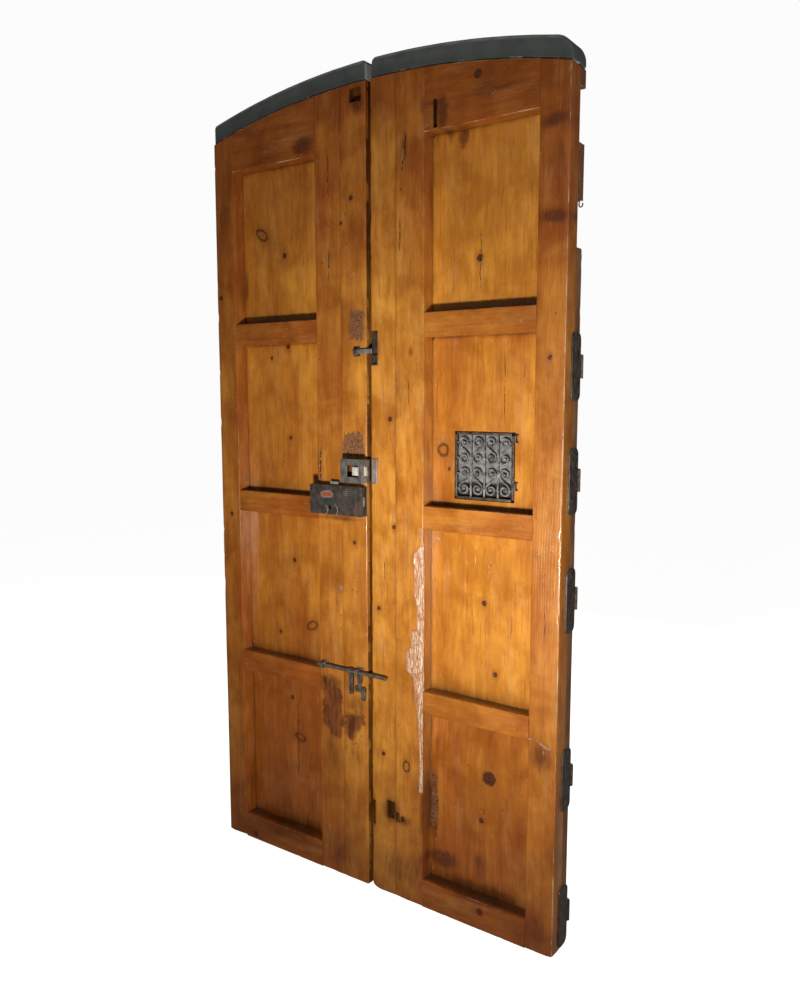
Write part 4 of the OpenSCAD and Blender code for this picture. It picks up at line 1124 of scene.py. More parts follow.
def makePine(name, look):
    material, tree, shader = startMaterial(name)
    grain = attributeOf(tree, "grain")
    wearAndShade = parted(tree, attributeOf(tree, "wearAndShade"))
    smudgeAndShade = addNode(tree, "ShaderNodeAttribute", attribute_name="smudgeAndShade").outputs["Fac"]
    wood = useGroup(tree, groups["grain"], {
        "Grain": grain, "Knot": attributeOf(tree, "knot"), "Ring Spacing": look["ringSpacing"]})
    rubbed = useGroup(tree, groups["edge"], {
        "Grain": grain, "Distance": wearAndShade[0], "Reach": rubbedReach, "Amount": look["edge"]})
    scuffs = useGroup(tree, groups["scuffs"], {"Place": grain, "Scale": 1.0})
    apart = addNode(tree, "ShaderNodeVectorMath", {0: grain, 1: speckPlace["away"]}, operation="ADD")
    specks = useGroup(tree, groups["scuffs"], {"Place": apart.outputs[0], "Scale": speckPlace["scale"]})
    finish = useGroup(tree, groups["finish"], {
        "Grain": grain, "Smears": scuffs["Smears"], "Rings": wood["Rings"], "Ring Share": look["rings"],
        "Streaks": wood["Streaks"], "Fibres": wood["Fibres"], "Tone": wearAndShade[1], "Cloud": wood["Cloud"]})
    marks = useGroup(tree, groups["marks"], {
        "Grain": grain, "Marks": attributeOf(tree, "marks"), "Brushed": finish["Brushed"]})
    split = useGroup(tree, groups["split"], {"Grain": grain, "Split": attributeOf(tree, "crack")})
    grimeAndShade = useGroup(tree, groups["grimeAndShade"], {
        "Smudge And Shade": smudgeAndShade, "Brushed": finish["Brushed"], "Distance": wearAndShade[2], "Cloud": wood["Cloud"]})
    light = mixed(tree, finish["Tone"], look["gold"], look["red"])
    dark = mixed(tree, finish["Tone"], look["late"], look["redLate"])
    shade = mixed(tree, finish["Blotch"], look["blotch"], look["clear"])
    colour = mixed(tree, 1.0, mixed(tree, finish["Figure"], light, dark), shade, "MULTIPLY")
    knotColour = mixed(tree, times(tree, wood["Knot Rings"], 0.75), look["knot"], look["knotRim"])
    knotColour = mixed(tree, times(tree, wood["Knot Flecks"], 0.6), knotColour, look["fleck"])
    patchColour = mixed(tree, marks["Crumbs"], look["crumbDark"], look["crumbPale"])
    stainColour = mixed(tree, marks["Stain Tone"], look["stain"], look["stainPale"])
    scarColour = mixed(tree, marks["Scar Tone"], look["tornDark"], look["tornPale"])
    scarColour = mixed(tree, marks["Skin"], scarColour, look["tornSkin"])
    scarColour = mixed(tree, marks["Chips"], scarColour, look["chip"])
    # the dirt layer also lays painted shade, and the smudge layer painted shade behind the latch
    layers = {"haze": (finish["Haze"], look["haze"]), "streaks": (finish["Dark Streaks"], look["redLate"]),
              "smudgeAndShade": (grimeAndShade["Smudge And Shade"], look["stain"]), "halo": (wood["Halo"], look["redLate"]),
              "knot": (wood["Knot"], knotColour), "patch": (marks["Patch"], patchColour),
              "stain": (marks["Stain"], stainColour), "scar": (marks["Scar"], scarColour),
              "rind": (marks["Rind"], look["rind"]), "dirt": (grimeAndShade["Dirt And Shade"], look["dirt"]),
              "split": (split["Mask"], look["knotRim"]), "dents": (scuffs["Dents"], look["knotRim"]),
              "specks": (specks["Dents"], look["speck"]), "scratches": (scuffs["Scratches"], look["raw"]),
              "soft": (rubbed["Soft"], look["redLate"]), "rubbed": (rubbed["Mask"], look["raw"])}
    for layer, share in pineShares.items():
        mask, over = layers[layer]
        colour = mixed(tree, times(tree, mask, share), colour, over)
    tree.links.new(colour, shader.inputs["Base Color"])
    bare = calc(tree, "MAXIMUM", marks["Scar"], rubbed["Mask"])
    rough = plus(tree, look["roughness"], times(tree, minus(tree, scuffs["Smears"], 0.45), 0.35))
    rough = plus(tree, rough, times(tree, bare, 0.35))
    rough = plus(tree, rough, times(tree, marks["Patch"], 0.2), clamp=True)
    tree.links.new(rough, shader.inputs["Roughness"])
    coat = times(tree, minus(tree, 1.0, bare), look["gloss"], clamp=True)
    tree.links.new(coat, shader.inputs["Coat Weight"])
    shader.inputs["Coat Roughness"].default_value = 0.16
    torn = times(tree, marks["Scar"], marks["Splinter"])
    crumbly = times(tree, marks["Patch"], marks["Crumbs"])
    ringed = times(tree, wood["Knot"], wood["Knot Rings"])
    reliefs = [(wood["Fibres"], 0.22), (wood["Rings"], -0.18), (wood["Streaks"], 0.5), (ringed, -0.5),
               (scuffs["Scratches"], -0.25), (scuffs["Dents"], -1.2), (torn, 2.4), (crumbly, 1.0),
               (split["Mask"], -1.5)]
    height = 0.0
    for relief, amount in reliefs:
        height = plus(tree, height, times(tree, relief, amount))
    bump = addNode(tree, "ShaderNodeBump", {"Height": height, "Distance": look["bump"], "Strength": 0.8})
    tree.links.new(bump.outputs[0], shader.inputs["Normal"])
    return material


# metal, and the dark grey of the top strips, which is painted shadow: base, second and rust colours, all
# linear
darkIron = {"base": (0.060, 0.048, 0.042), "second": (0.120, 0.100, 0.088), "rust": (0.150, 0.055, 0.022),
            "rustShare": 0.35, "metal": 0.55, "roughness": 0.46, "bump": 0.0007, "scale": 60.0, "pits": 0.6}
boltIron = dict(darkIron, base=(0.105, 0.090, 0.072), second=(0.200, 0.180, 0.150),
                rust=(0.130, 0.070, 0.050), rustShare=0.45)
greyIron = dict(darkIron, base=(0.210, 0.215, 0.220), second=(0.420, 0.430, 0.435),
                rust=(0.140, 0.110, 0.095), rustShare=0.22, roughness=0.38, metal=0.65)
latchSteel = dict(darkIron, base=(0.130, 0.126, 0.118), second=(0.250, 0.246, 0.232),
                  rust=(0.210, 0.170, 0.150), rustShare=0.30, roughness=0.36, metal=0.5)
wornSteel = dict(greyIron, base=(0.30, 0.29, 0.27), second=(0.46, 0.45, 0.42))
copperIron = dict(darkIron, base=(0.34, 0.27, 0.235), second=(0.46, 0.40, 0.36), rust=(0.30, 0.145, 0.085),
                  rustShare=0.34, roughness=0.42)
lockIron = dict(darkIron, base=(0.050, 0.042, 0.038), second=(0.098, 0.082, 0.074),
                rust=(0.110, 0.062, 0.045), rustShare=0.25, metal=0.35, roughness=0.44, pits=0.4)
scrollIron = dict(greyIron, base=(0.115, 0.116, 0.118), second=(0.330, 0.335, 0.340), rustShare=0.20,
                  metal=0.35, roughness=0.36)
paleSteel = dict(greyIron, base=(0.56, 0.54, 0.48), second=(0.74, 0.72, 0.64), metal=0.2)
backingIron = dict(greyIron, base=(0.130, 0.132, 0.134), second=(0.240, 0.245, 0.250), metal=0.1,
                   roughness=0.55)
# painted shadow: the grey laid on the two top strips stands in for the shadow band above the leaves' arched
# top
paintedShadowGrey = dict(darkIron, base=(0.080, 0.096, 0.096), second=(0.110, 0.128, 0.126),
                 rust=(0.16, 0.165, 0.150), rustShare=0.16, metal=0.0, roughness=0.55, bump=0.0006,
                 scale=14.0, pits=0.3)


def makeMetal(name, look):
    material, tree, shader = startMaterial(name)
    place = objectPlace(tree)
    scuffs = useGroup(tree, groups["scuffs"], {"Place": place, "Scale": 4.0})
    iron = useGroup(tree, groups["iron"], {
        "Place": place, "Cloud Scale": look["scale"], "Spot Scale": look["scale"] * 2.7,
        "Rust From": 0.92 - look["rustShare"] * 0.55, "Rust To": 1.02 - look["rustShare"] * 0.5})
    scratched = tuple(min(1, 2.2 * c) for c in look["second"])
    colour = mixed(tree, iron["Tone"], look["base"], look["second"])
    colour = mixed(tree, times(tree, iron["Rust"], 0.85), colour, look["rust"])
    colour = mixed(tree, times(tree, scuffs["Scratches"], 0.5), colour, scratched)
    tree.links.new(colour, shader.inputs["Base Color"])
    tree.links.new(times(tree, minus(tree, 1.0, iron["Rust"]), look["metal"]), shader.inputs["Metallic"])
    rough = plus(tree, look["roughness"], swung(tree, iron["Cloud"], 0.4))
    rough = plus(tree, rough, times(tree, iron["Rust"], 0.25), clamp=True)
    tree.links.new(rough, shader.inputs["Roughness"])
    height = plus(tree, times(tree, iron["Cloud"], 0.6), times(tree, iron["Spots"], look["pits"]))
    height = minus(tree, height, times(tree, scuffs["Dents"], 0.8))
    bump = addNode(tree, "ShaderNodeBump", {"Height": height, "Distance": look["bump"], "Strength": 0.7})
    tree.links.new(bump.outputs[0], shader.inputs["Normal"])
    return material


def ovalAt(tree, x, z, centre, size):
    # 0 at the centre and 1 on the rim
    across = calc(tree, "DIVIDE", minus(tree, x, centre[0]), size[0])
    up = calc(tree, "DIVIDE", minus(tree, z, centre[1]), size[1])
    return calc(tree, "SQRT", plus(tree, times(tree, across, across), times(tree, up, up)))


def looseColour(material):
    # takes the colour link off the shader, so that more can be laid over it
    tree = material.node_tree
    shader = tree.nodes["Principled BSDF"]
    place = parted(tree, objectPlace(tree))
    return tree, shader, shader.inputs["Base Color"].links[0].from_socket, place


# painted highlight and painted shadow for the top strips: pale for the rim and the ends, dark low down, and
# the colour of the chips
shadowStripRim = {"light": (0.40, 0.42, 0.42), "dark": (0.045, 0.052, 0.052), "width": 0.012,
              "bruise": (0.55, 0.47, 0.38)}


def addStripShadowAndHighlight(material, stripHeight):
    # painted highlight and painted shadow: the strip's grey is painted paler along its outer rim and at the
    # meeting ends as a highlight, darker low down as shadow, and chipped along its lower edge
    tree, shader, colour, place = looseColour(material)
    look = shadowStripRim
    soft = noiseOf(tree, objectPlace(tree), 24, 4, 0.6)
    radius = ovalAt(tree, place[0], place[2], (0.0, door["archCentre"]), (1.0, 1.0))
    inward = minus(tree, door["archRadius"] + stripHeight, radius)
    inward = plus(tree, inward, swung(tree, soft, 0.012))
    rim = spread(tree, inward, look["width"], 0.0005)
    ends = spread(tree, calc(tree, "ABSOLUTE", place[0]), 0.013, 0.006)
    colour = mixed(tree, times(tree, spread(tree, inward, 0.020, 0.050), 0.5), colour, look["dark"])
    colour = mixed(tree, times(tree, calc(tree, "MAXIMUM", rim, ends), 0.75), colour, look["light"])
    low = spread(tree, inward, stripHeight - 0.005, stripHeight - 0.0015)
    chipped = times(tree, low, spread(tree, noiseOf(tree,
                                                    objectPlace(tree),
                                                    17, 4, 0.7), 0.52, 0.58))
    colour = mixed(tree, chipped, colour, look["bruise"])
    tree.links.new(colour, shader.inputs["Base Color"])


# the marks on the lock's face: places across and up in metres
lockFace = {"lobes": [(-0.152, 1.2805), (-0.134, 1.2815)], "lobe": (0.0125, 0.0085),
            "pink": (0.42, 0.115, 0.060),
            "rim": (0.42, 0.36, 0.32), "teal": (0.040, 0.062, 0.058), "tealAt": (-0.139, 1.2610),
            "tealSize": (0.034, 0.0075),
            "arcs": [((-0.1575, 1.231), 0.0175), ((-0.1215, 1.231), 0.0215)], "arcWidth": 0.0016,
            "streakAt": (-0.027, 1.232), "streakSize": (0.009, 0.050), "streak": (0.19, 0.075, 0.065),
            "ticksAt": (-0.067, 1.290), "ticksSize": (0.013, 0.014), "tab": (0.36, 0.38, 0.30)}


def addLockMarks(material):
    tree, shader, colour, place = looseColour(material)
    look = lockFace
    flat = objectPlace(tree)
    shiver = swung(tree, noiseOf(tree, flat, 120, 3, 0.6), 0.008)
    x, z = plus(tree, place[0], shiver), plus(tree, place[2], times(tree, shiver, -0.8))
    teal = spread(tree, ovalAt(tree, x, z, look["tealAt"], look["tealSize"]), 1.15, 0.6)
    colour = mixed(tree, times(tree, teal, 0.8), colour, look["teal"])
    streak = spread(tree, ovalAt(tree, x, z, look["streakAt"], look["streakSize"]), 1.1, 0.35)
    colour = mixed(tree, times(tree, streak, 0.75), colour, look["streak"])
    lobes = [ovalAt(tree, x, z, at, look["lobe"]) for at in look["lobes"]]
    lobe = calc(tree, "MINIMUM", lobes[0], lobes[1])
    colour = mixed(tree, times(tree, spread(tree, lobe, 1.45, 1.12), 0.8), colour, look["rim"])
    colour = mixed(tree, spread(tree, lobe, 1.08, 0.90), colour, look["pink"])
    broken = spread(tree, noiseOf(tree, flat, 210, 3, 0.65), 0.36, 0.52)
    for centre, radius in look["arcs"]:
        away = calc(tree, "ABSOLUTE", minus(tree, ovalAt(tree, x, z, centre, (1.0, 1.0)), radius))
        line = times(tree, spread(tree, away, look["arcWidth"] * 1.3, look["arcWidth"] * 0.4),
                    spread(tree, minus(tree, place[0], centre[0] + radius * 0.45), 0.0, 0.002))
        colour = mixed(tree, times(tree, line, broken), colour, look["rim"])
    rows = spread(tree, calc(tree, "SINE", times(tree, z, 1050.0)), 0.25, 0.8)
    ticks = times(tree, rows, spread(tree, ovalAt(tree, x, z, look["ticksAt"], look["ticksSize"]), 1.0, 0.7))
    colour = mixed(tree, times(tree, ticks, times(tree, broken, 0.55)), colour, look["rim"])
    tab = spread(tree, place[2], 1.3112, 1.3125)
    colour = mixed(tree, times(tree, tab, 0.85), colour, look["tab"])
    tree.links.new(colour, shader.inputs["Base Color"])


def addBackingShadow(material, shadowTop):
    # painted shadow: the plate behind the scrolls is painted near black along its foot, where shade falls
    # behind the lowest scrolls
    tree, shader, colour, place = looseColour(material)
    soft = noiseOf(tree, objectPlace(tree), 60, 3)
    height = plus(tree, place[2], swung(tree, soft, 0.012))
    colour = mixed(tree, spread(tree, height, shadowTop + 0.005, shadowTop - 0.004), colour, (0.008, 0.007, 0.007))
    tree.links.new(colour, shader.inputs["Base Color"])


def cleanCopy(node, flat=1.0):
    # a merged copy of a frame node's mesh
    work = bmesh.new()
    work.from_mesh(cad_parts[node].data)
    bmesh.ops.remove_doubles(work, verts=work.verts, dist=0.00001)
    bmesh.ops.dissolve_limit(work, angle_limit=math.radians(flat), verts=work.verts, edges=work.edges)
    return work


caseCorners = {"lock_case": 0.0055, "latch_case": 0.0025}


def softenedMesh(node, width, segments=2, angle=30):
    work = cleanCopy(node)
    if node in caseCorners:
        # the case's four outer corners are rounder than its other edges
        ends = [min(v.co.x for v in work.verts), max(v.co.x for v in work.verts)]
        tall = [e for e in work.edges if abs(e.verts[0].co.y - e.verts[1].co.y) > 0.012 and e.is_convex
                and min(abs(e.verts[0].co.x - ends[0]), abs(e.verts[0].co.x - ends[1])) < 0.0005]
        bmesh.ops.bevel(work, geom=tall, offset=caseCorners[node], segments=4, profile=0.5, affect="EDGES",
                        clamp_overlap=True)
    edges = [e for e in work.edges if len(e.link_faces) == 2 and e.calc_face_angle(0) > math.radians(angle)]
    bmesh.ops.bevel(work, geom=edges, offset=width, segments=segments, profile=0.5, affect="EDGES",
                    clamp_overlap=True)
    bmesh.ops.triangulate(work, faces=[f for f in work.faces if len(f.verts) > 4])
    mesh = bpy.data.meshes.new(node)
    work.to_mesh(mesh)
    work.free()
    return mesh


def forgedMesh(node, voxel, rough, seed, smoothing=2):
    # an uneven, hand-worked copy of a frame node
    work = cleanCopy(node, 0.1)
    bmesh.ops.triangulate(work, faces=work.faces)
    mesh = bpy.data.meshes.new(node)
    work.to_mesh(mesh)
    work.free()
    piece = newObject("forging", mesh)
    remesh = piece.modifiers.new("remesh", "REMESH")
    remesh.mode = "VOXEL"
    remesh.voxel_size = voxel
    smooth = piece.modifiers.new("smooth", "SMOOTH")
    smooth.iterations = smoothing
    bpy.context.view_layer.update()
    made = bakedMesh(piece)
    bpy.data.objects.remove(piece)
    points = meshPoints(made)
    normals = np.empty(points.size)
    made.vertices.foreach_get("normal", normals)
    lumps = roughNoise(points, 0.009, seed) - 0.62
    setPoints(made, points + normals.reshape(-1, 3) * (rough * lumps)[:, None])
    return made


# geometry trees make what repeats: scrolls, screw heads and nail heads

def geometryTree(name, takes):
    tree = bpy.data.node_groups.new(name, "GeometryNodeTree")
    kinds = {"g": "NodeSocketGeometry", "f": "NodeSocketFloat", "i": "NodeSocketInt", "v": "NodeSocketVector",
             "m": "NodeSocketMaterial"}
    for socket, kind in takes:
        tree.interface.new_socket(socket, in_out="INPUT", socket_type=kinds[kind])
    tree.interface.new_socket("Mesh", in_out="OUTPUT", socket_type="NodeSocketGeometry")
    return tree, tree.nodes.new("NodeGroupInput").outputs, tree.nodes.new("NodeGroupOutput").inputs


def closeTree(tree, made, material, give):
    real = addNode(tree, "GeometryNodeRealizeInstances", {"Geometry": made}).outputs[0]
    clad = addNode(tree, "GeometryNodeSetMaterial", {"Geometry": real, "Material": material}).outputs[0]
    tree.links.new(clad, give[0])


def grownMesh(name, tree, values, points=((0, 0, 0),)):
    # runs a tree on loose points and gives back the plain mesh
    mesh = bpy.data.meshes.new(name)
    mesh.from_pydata([tuple(p) for p in points], [], [])
    piece = newObject(name, mesh)
    modifier = piece.modifiers.new("grow", "NODES")
    modifier.node_group = tree
    for item in tree.interface.items_tree:
        if item.in_out == "INPUT" and item.name in values:
            modifier[item.identifier] = values[item.name]
    piece.update_tag()
    bpy.context.view_layer.update()
    made = bakedMesh(piece)
    bpy.data.objects.remove(piece)
    tidyNormals(made)
    return made


def randomOf(tree, kind, low, high, seed):
    made = addNode(tree, "FunctionNodeRandomValue", data_type=kind)
    for socket, value in zip([i for i in made.inputs if i.enabled], (low, high)):
        if isinstance(value, bpy.types.NodeSocket):
            tree.links.new(value, socket)
        else:
            socket.default_value = value
    tree.links.new(seed, made.inputs["Seed"])
    return [o for o in made.outputs if o.enabled][0]


def makeScrollTree():
    # pairs of spirals joined by a slanting bar, in columns; every second one is turned over
    takes = [("Geometry", "g"), ("Columns", "i"), ("Pairs", "i"), ("Pitch Across", "f"), ("Pitch Up", "f"),
             ("Bar", "f"),
             ("Turns", "f"), ("Eye", "f"), ("Reach", "f"), ("Turn", "f"), ("Slant", "v"), ("Centre", "v"),
             ("Material", "m")]
    tree, take, give = geometryTree("ironScrolls", takes)
    half = times(tree, take["Pitch Up"], 0.5)
    spiral = addNode(tree, "GeometryNodeCurveSpiral",
                     {"Resolution": 13, "Rotations": take["Turns"], "Start Radius": take["Eye"],
                                                       "End Radius": take["Reach"], "Height": 0.0}).outputs[0]
    lift = addNode(tree, "ShaderNodeCombineXYZ", {1: half}).outputs[0]
    twist = addNode(tree, "ShaderNodeCombineXYZ", {2: take["Turn"]}).outputs[0]
    upper = addNode(tree, "GeometryNodeTransform",
                    {"Geometry": spiral, "Translation": lift, "Rotation": twist}).outputs[0]
    lower = addNode(tree, "GeometryNodeTransform",
                    {"Geometry": upper, "Rotation": (0, 0, math.pi)}).outputs[0]
    back = addNode(tree, "ShaderNodeVectorMath", {0: take["Slant"], 1: (-1, -1, -1)},
                   operation="MULTIPLY").outputs[0]
    bar = addNode(tree, "GeometryNodeCurvePrimitiveLine", {"Start": take["Slant"], "End": back}).outputs[0]
    lines = tree.nodes.new("GeometryNodeJoinGeometry")
    for part in (upper, lower, bar):
        tree.links.new(part, lines.inputs[0])
    section = addNode(tree, "GeometryNodeCurvePrimitiveCircle",
                      {"Resolution": 6, "Radius": take["Bar"]}).outputs[0]
    swept = addNode(tree, "GeometryNodeCurveToMesh",
                    {"Curve": lines.outputs[0], "Profile Curve": section, "Fill Caps": True}).outputs[0]
    ball = addNode(tree, "GeometryNodeMeshUVSphere",
                   {"Segments": 8, "Rings": 5, "Radius": times(tree, take["Bar"], 1.45)}).outputs[0]
    topEye = addNode(tree, "GeometryNodeTransform", {"Geometry": ball, "Translation": lift}).outputs[0]
    lowEye = addNode(tree, "GeometryNodeTransform",
                     {"Geometry": topEye, "Rotation": (0, 0, math.pi)}).outputs[0]
    whole = tree.nodes.new("GeometryNodeJoinGeometry")
    for part in (swept, topEye, lowEye):
        tree.links.new(part, whole.inputs[0])
    wide = times(tree, take["Pitch Across"], minus(tree, take["Columns"], 1.0))
    tall = times(tree, times(tree, take["Pitch Up"], 2.0), minus(tree, take["Pairs"], 1.0))
    spots = addNode(tree, "GeometryNodeMeshGrid",
                    {"Size X": wide, "Size Y": tall, "Vertices X": take["Columns"],
                                                   "Vertices Y": take["Pairs"]}).outputs[0]
    index = tree.nodes.new("GeometryNodeInputIndex").outputs[0]
    column = calc(tree, "FLOOR", calc(tree, "DIVIDE", index, take["Pairs"]))
    odd = calc(tree, "MODULO", plus(tree, plus(tree, column, index), times(tree, column, take["Pairs"])), 2.0)
    flip = minus(tree, 1.0, times(tree, odd, 2.0))
    scale = addNode(tree, "ShaderNodeCombineXYZ", {0: flip, 1: 1.0, 2: 1.0}).outputs[0]
    placed = addNode(tree, "GeometryNodeInstanceOnPoints",
                     {"Points": spots, "Instance": whole.outputs[0], "Scale": scale}).outputs[0]
    stood = addNode(tree, "GeometryNodeTransform", {"Geometry": placed, "Translation": take["Centre"],
                                                    "Rotation": (math.pi / 2, 0, 0)}).outputs[0]
    closeTree(tree, stood, take["Material"], give)
    return tree


def makeHeadTree():
    # a low domed head, slotted if a slot width is given, set on every point and spun at random
    takes = [("Geometry", "g"), ("Radius", "f"), ("Height", "f"), ("Slot", "f"), ("Facing", "v"),
             ("Uneven", "f"), ("Seed", "i"),
             ("Material", "m")]
    tree, take, give = geometryTree("domedHeads", takes)
    ball = addNode(tree, "GeometryNodeMeshUVSphere", {"Segments": 10, "Rings": 6, "Radius": 1.0}).outputs[0]
    size = addNode(tree, "ShaderNodeCombineXYZ",
                   {0: take["Radius"], 1: take["Radius"], 2: take["Height"]}).outputs[0]
    dome = addNode(tree, "GeometryNodeTransform", {"Geometry": ball, "Scale": size}).outputs[0]
    long = times(tree, take["Radius"], 2.4)
    block = addNode(tree, "ShaderNodeCombineXYZ", {0: long, 1: take["Slot"], 2: take["Height"]}).outputs[0]
    raised = addNode(tree, "ShaderNodeCombineXYZ", {2: take["Height"]}).outputs[0]
    cube = addNode(tree, "GeometryNodeMeshCube", {"Size": block}).outputs[0]
    cube = addNode(tree, "GeometryNodeTransform", {"Geometry": cube, "Translation": raised}).outputs[0]
    cut = addNode(tree, "GeometryNodeMeshBoolean", operation="DIFFERENCE")
    tree.links.new(dome, cut.inputs["Mesh 1"])
    tree.links.new(cube, cut.inputs["Mesh 2"])
    slotted = calc(tree, "GREATER_THAN", take["Slot"], 0.0)
    pick = addNode(tree, "GeometryNodeSwitch", {"Switch": slotted, "False": dome, "True": cut.outputs[0]},
                   input_type="GEOMETRY").outputs[0]
    low = minus(tree, 1.0, take["Uneven"])
    links = {"Points": take["Geometry"], "Instance": pick, "Rotation": take["Facing"],
             "Scale": randomOf(tree, "FLOAT", low, 1.0, take["Seed"])}
    placed = addNode(tree, "GeometryNodeInstanceOnPoints", links).outputs[0]
    spin = randomOf(tree, "FLOAT_VECTOR", (0, 0, 0), (0, 0, 6.28), take["Seed"])
    spun = addNode(tree, "GeometryNodeRotateInstances", {"Instances": placed, "Rotation": spin}).outputs[0]
    closeTree(tree, spun, take["Material"], give)
    return tree


geometryTrees = {"scrolls": makeScrollTree(), "heads": makeHeadTree()}


def barMesh(low, high, bevel=0.001):
    # a plain bar with eased edges
    work = bmesh.new()
    bmesh.ops.create_cube(work, size=1)
    for v in work.verts:
        v.co = [low[i] + (v.co[i] + 0.5) * (high[i] - low[i]) for i in range(3)]
    bmesh.ops.bevel(work, geom=work.edges[:], offset=bevel, segments=2, profile=0.5, affect="EDGES",
                    clamp_overlap=True)
    mesh = bpy.data.meshes.new("bar")
    work.to_mesh(mesh)
    work.free()
    return mesh


def loosePlaces(node):
    # the middle and size of each loose part of a frame node
    work = cleanCopy(node, 0.01)
    found, seen = [], set()
    for start in work.verts:
        if start in seen:
            continue
        part, ahead = [], [start]
        seen.add(start)
        while ahead:
            here = ahead.pop()
            part.append(here.co.copy())
            for edge in here.link_edges:
                there = edge.other_vert(here)
                if there not in seen:
                    seen.add(there)
                    ahead.append(there)
        part = np.array(part)
        found.append((part.min(axis=0), part.max(axis=0)))
    work.free()
    return found


grilleLook = {
    "border": 0.008,            # width of the outer frame
    "upright": 0.0042,          # width of the bars between the columns
    "bar": 0.0032,              # half the thickness of the scroll iron
    "turns": 1.30,              # turns of each scroll
    "eye": 0.0052,              # radius where a scroll starts
    "reach": 0.0176,            # radius where it ends
    "collar": (0.0046, 0.0026), # half width and half height of the collars
    "knuckle": 0.004,           # radius of the small hinge eyes
}


def buildGrille(materials):
    look = grilleLook
    box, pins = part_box("grille"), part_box("grille_pintles")
    left, right, low, high = box[0].x, box[1].x - 0.010, box[0].z, box[1].z
    back, face, edge = box[1].y, box[1].y - 0.008, look["border"]
    bars = [barMesh((left, face, low), (left + edge, back, high)),
            barMesh((right - edge, face, low), (right, back, high)),
            barMesh((left, face, low), (right, back, low + edge)),
            barMesh((left, face, high - edge), (right, back, high))]
    across, up = (right - left - 2 * edge) / 4, (high - low - 2 * edge) / 4
    middle = (face + back) / 2
    wide, tall = look["collar"]
    links = []
    for i in range(5):
        x = left + edge + i * across
        if 0 < i < 4:
            half = look["upright"] / 2
            links.append(barMesh((x - half, middle - 0.001, low + 0.004),
                                 (x + half, back - 0.0005, high - 0.004), 0.0007))
        for k in range(4):
            z = low + edge + (k + 0.5) * up
            links.append(barMesh((x - wide, face + 0.0004, z - tall), (x + wide, back - 0.001, z + tall),
                                 0.0008))
    pinX, pinY = (pins[0].x + pins[1].x) / 2 - 0.002, box[0].y + look["knuckle"]
    for z in (low + 0.0375, low + 0.1715):
        ring = cutAway(roundBlock((pinX, pinY), look["knuckle"], z, z + 0.016, 20, "z"),
                       [roundBlock((pinX, pinY), 0.0023, z - 0.01, z + 0.03, 16, "z")])
        bars += [ring, barMesh((pinX - 0.012, pinY, z), (pinX - 0.0032, face + 0.002, z + 0.016), 0.0006)]
    finishPiece("metal_grille", joinMeshes("grille", bars), "grille_door", "grille",
                materials["dark"], 40)
    finishPiece("metal_grille_bars", joinMeshes("links", links), "grille_door", None,
                materials["scroll"], 40)
    reach = look["reach"]
    lean = math.asin(reach / (up / 2))
    run = math.sqrt((up / 2) ** 2 - reach ** 2)
    slant = (math.sin(lean) * run, math.cos(lean) * run, 0.0)
    ending = math.atan2(slant[1] - up / 2, slant[0])
    values = {"Columns": 4, "Pairs": 2, "Pitch Across": across, "Pitch Up": up, "Bar": look["bar"],
              "Turns": look["turns"],
              "Eye": look["eye"], "Reach": reach, "Turn": ending + 2 * math.pi * look["turns"],
              "Slant": slant,
              "Centre": ((left + right) / 2, middle, (low + high) / 2), "Material": materials["scroll"]}
    scrolls = grownMesh("scrolls", geometryTrees["scrolls"], values)
    finishPiece("metal_grille_scrolls", scrolls, "grille_door", None, materials["scroll"], 50)


headLooks = {"screw": {"height": 0.0013, "slot": 0.0009, "uneven": 0.04, "seed": 5},
             "nail": {"radius": 0.0058, "height": 0.0016, "slot": 0.0, "uneven": 0.22, "seed": 9,
                      "inFromEdge": 0.028}}


def buildHeads(materials):
    # slotted heads on the hinge screws, and nail heads over the back boards
    for sideName, side in (("right", 1), ("left", -1)):
        look, points, shanks = headLooks["screw"], [], []
        for low, high in loosePlaces(sideName + "_hinge_screws"):
            radius = (high[2] - low[2]) / 2
            tip, root = (high[0], low[0]) if side > 0 else (low[0], high[0])
            place = ((low[1] + high[1]) / 2, (low[2] + high[2]) / 2)
            points.append((tip - side * look["height"], *place))
            shanks.append(roundBlock(place, radius * 0.5, min(root, tip - side * 0.001),
                                     max(root, tip - side * 0.001), 10, "x"))
        values = {"Radius": radius, "Height": look["height"], "Slot": look["slot"],
                  "Facing": (0, side * math.pi / 2, 0),
                  "Uneven": look["uneven"], "Seed": look["seed"], "Material": materials["worn"]}
        heads = grownMesh("heads", geometryTrees["heads"], values, points)
        finishPiece(f"metal_{sideName}_hinge_screws", joinMeshes("screws", [heads] + shanks),
                    sideName + "_leaf",
                    sideName + "_hinge_screws", materials["worn"], 40)
        look, points = headLooks["nail"], []
        pitch = (door["hingeX"] - door["backGap"]) / 4
        rows = [sum(v) / 2 for v in door["rails"].values()] + [door["topRail"] + 0.045]
        for i in range(8):
            x = door["backGap"] + (i // 2) * pitch + (look["inFromEdge"] if i % 2 == 0
                                                      else pitch - look["inFromEdge"] - 0.010)
            for k, z in enumerate(rows):
                drift = 0.006 * math.sin(12.9 * i + 7.3 * k + side)
                if archHeight(x) - z > 0.03 and not (side > 0 and i == 7
                                                     and any(a - 0.02 < z < b + 0.02 for a,
                                                             b in edgeCutouts["spans"])):
                    points.append((side * (x + drift), door["rear"] - 0.0004, z + 0.7 * drift))
        values = {"Radius": look["radius"], "Height": look["height"], "Slot": look["slot"],
                  "Facing": (-math.pi / 2, 0, 0),
                  "Uneven": look["uneven"], "Seed": look["seed"], "Material": materials["dark"]}
        nails = grownMesh("nails", geometryTrees["heads"], values, points)
        finishPiece(f"metal_{sideName}_board_nails", nails, sideName + "_leaf", None,
                    materials["dark"], 50)


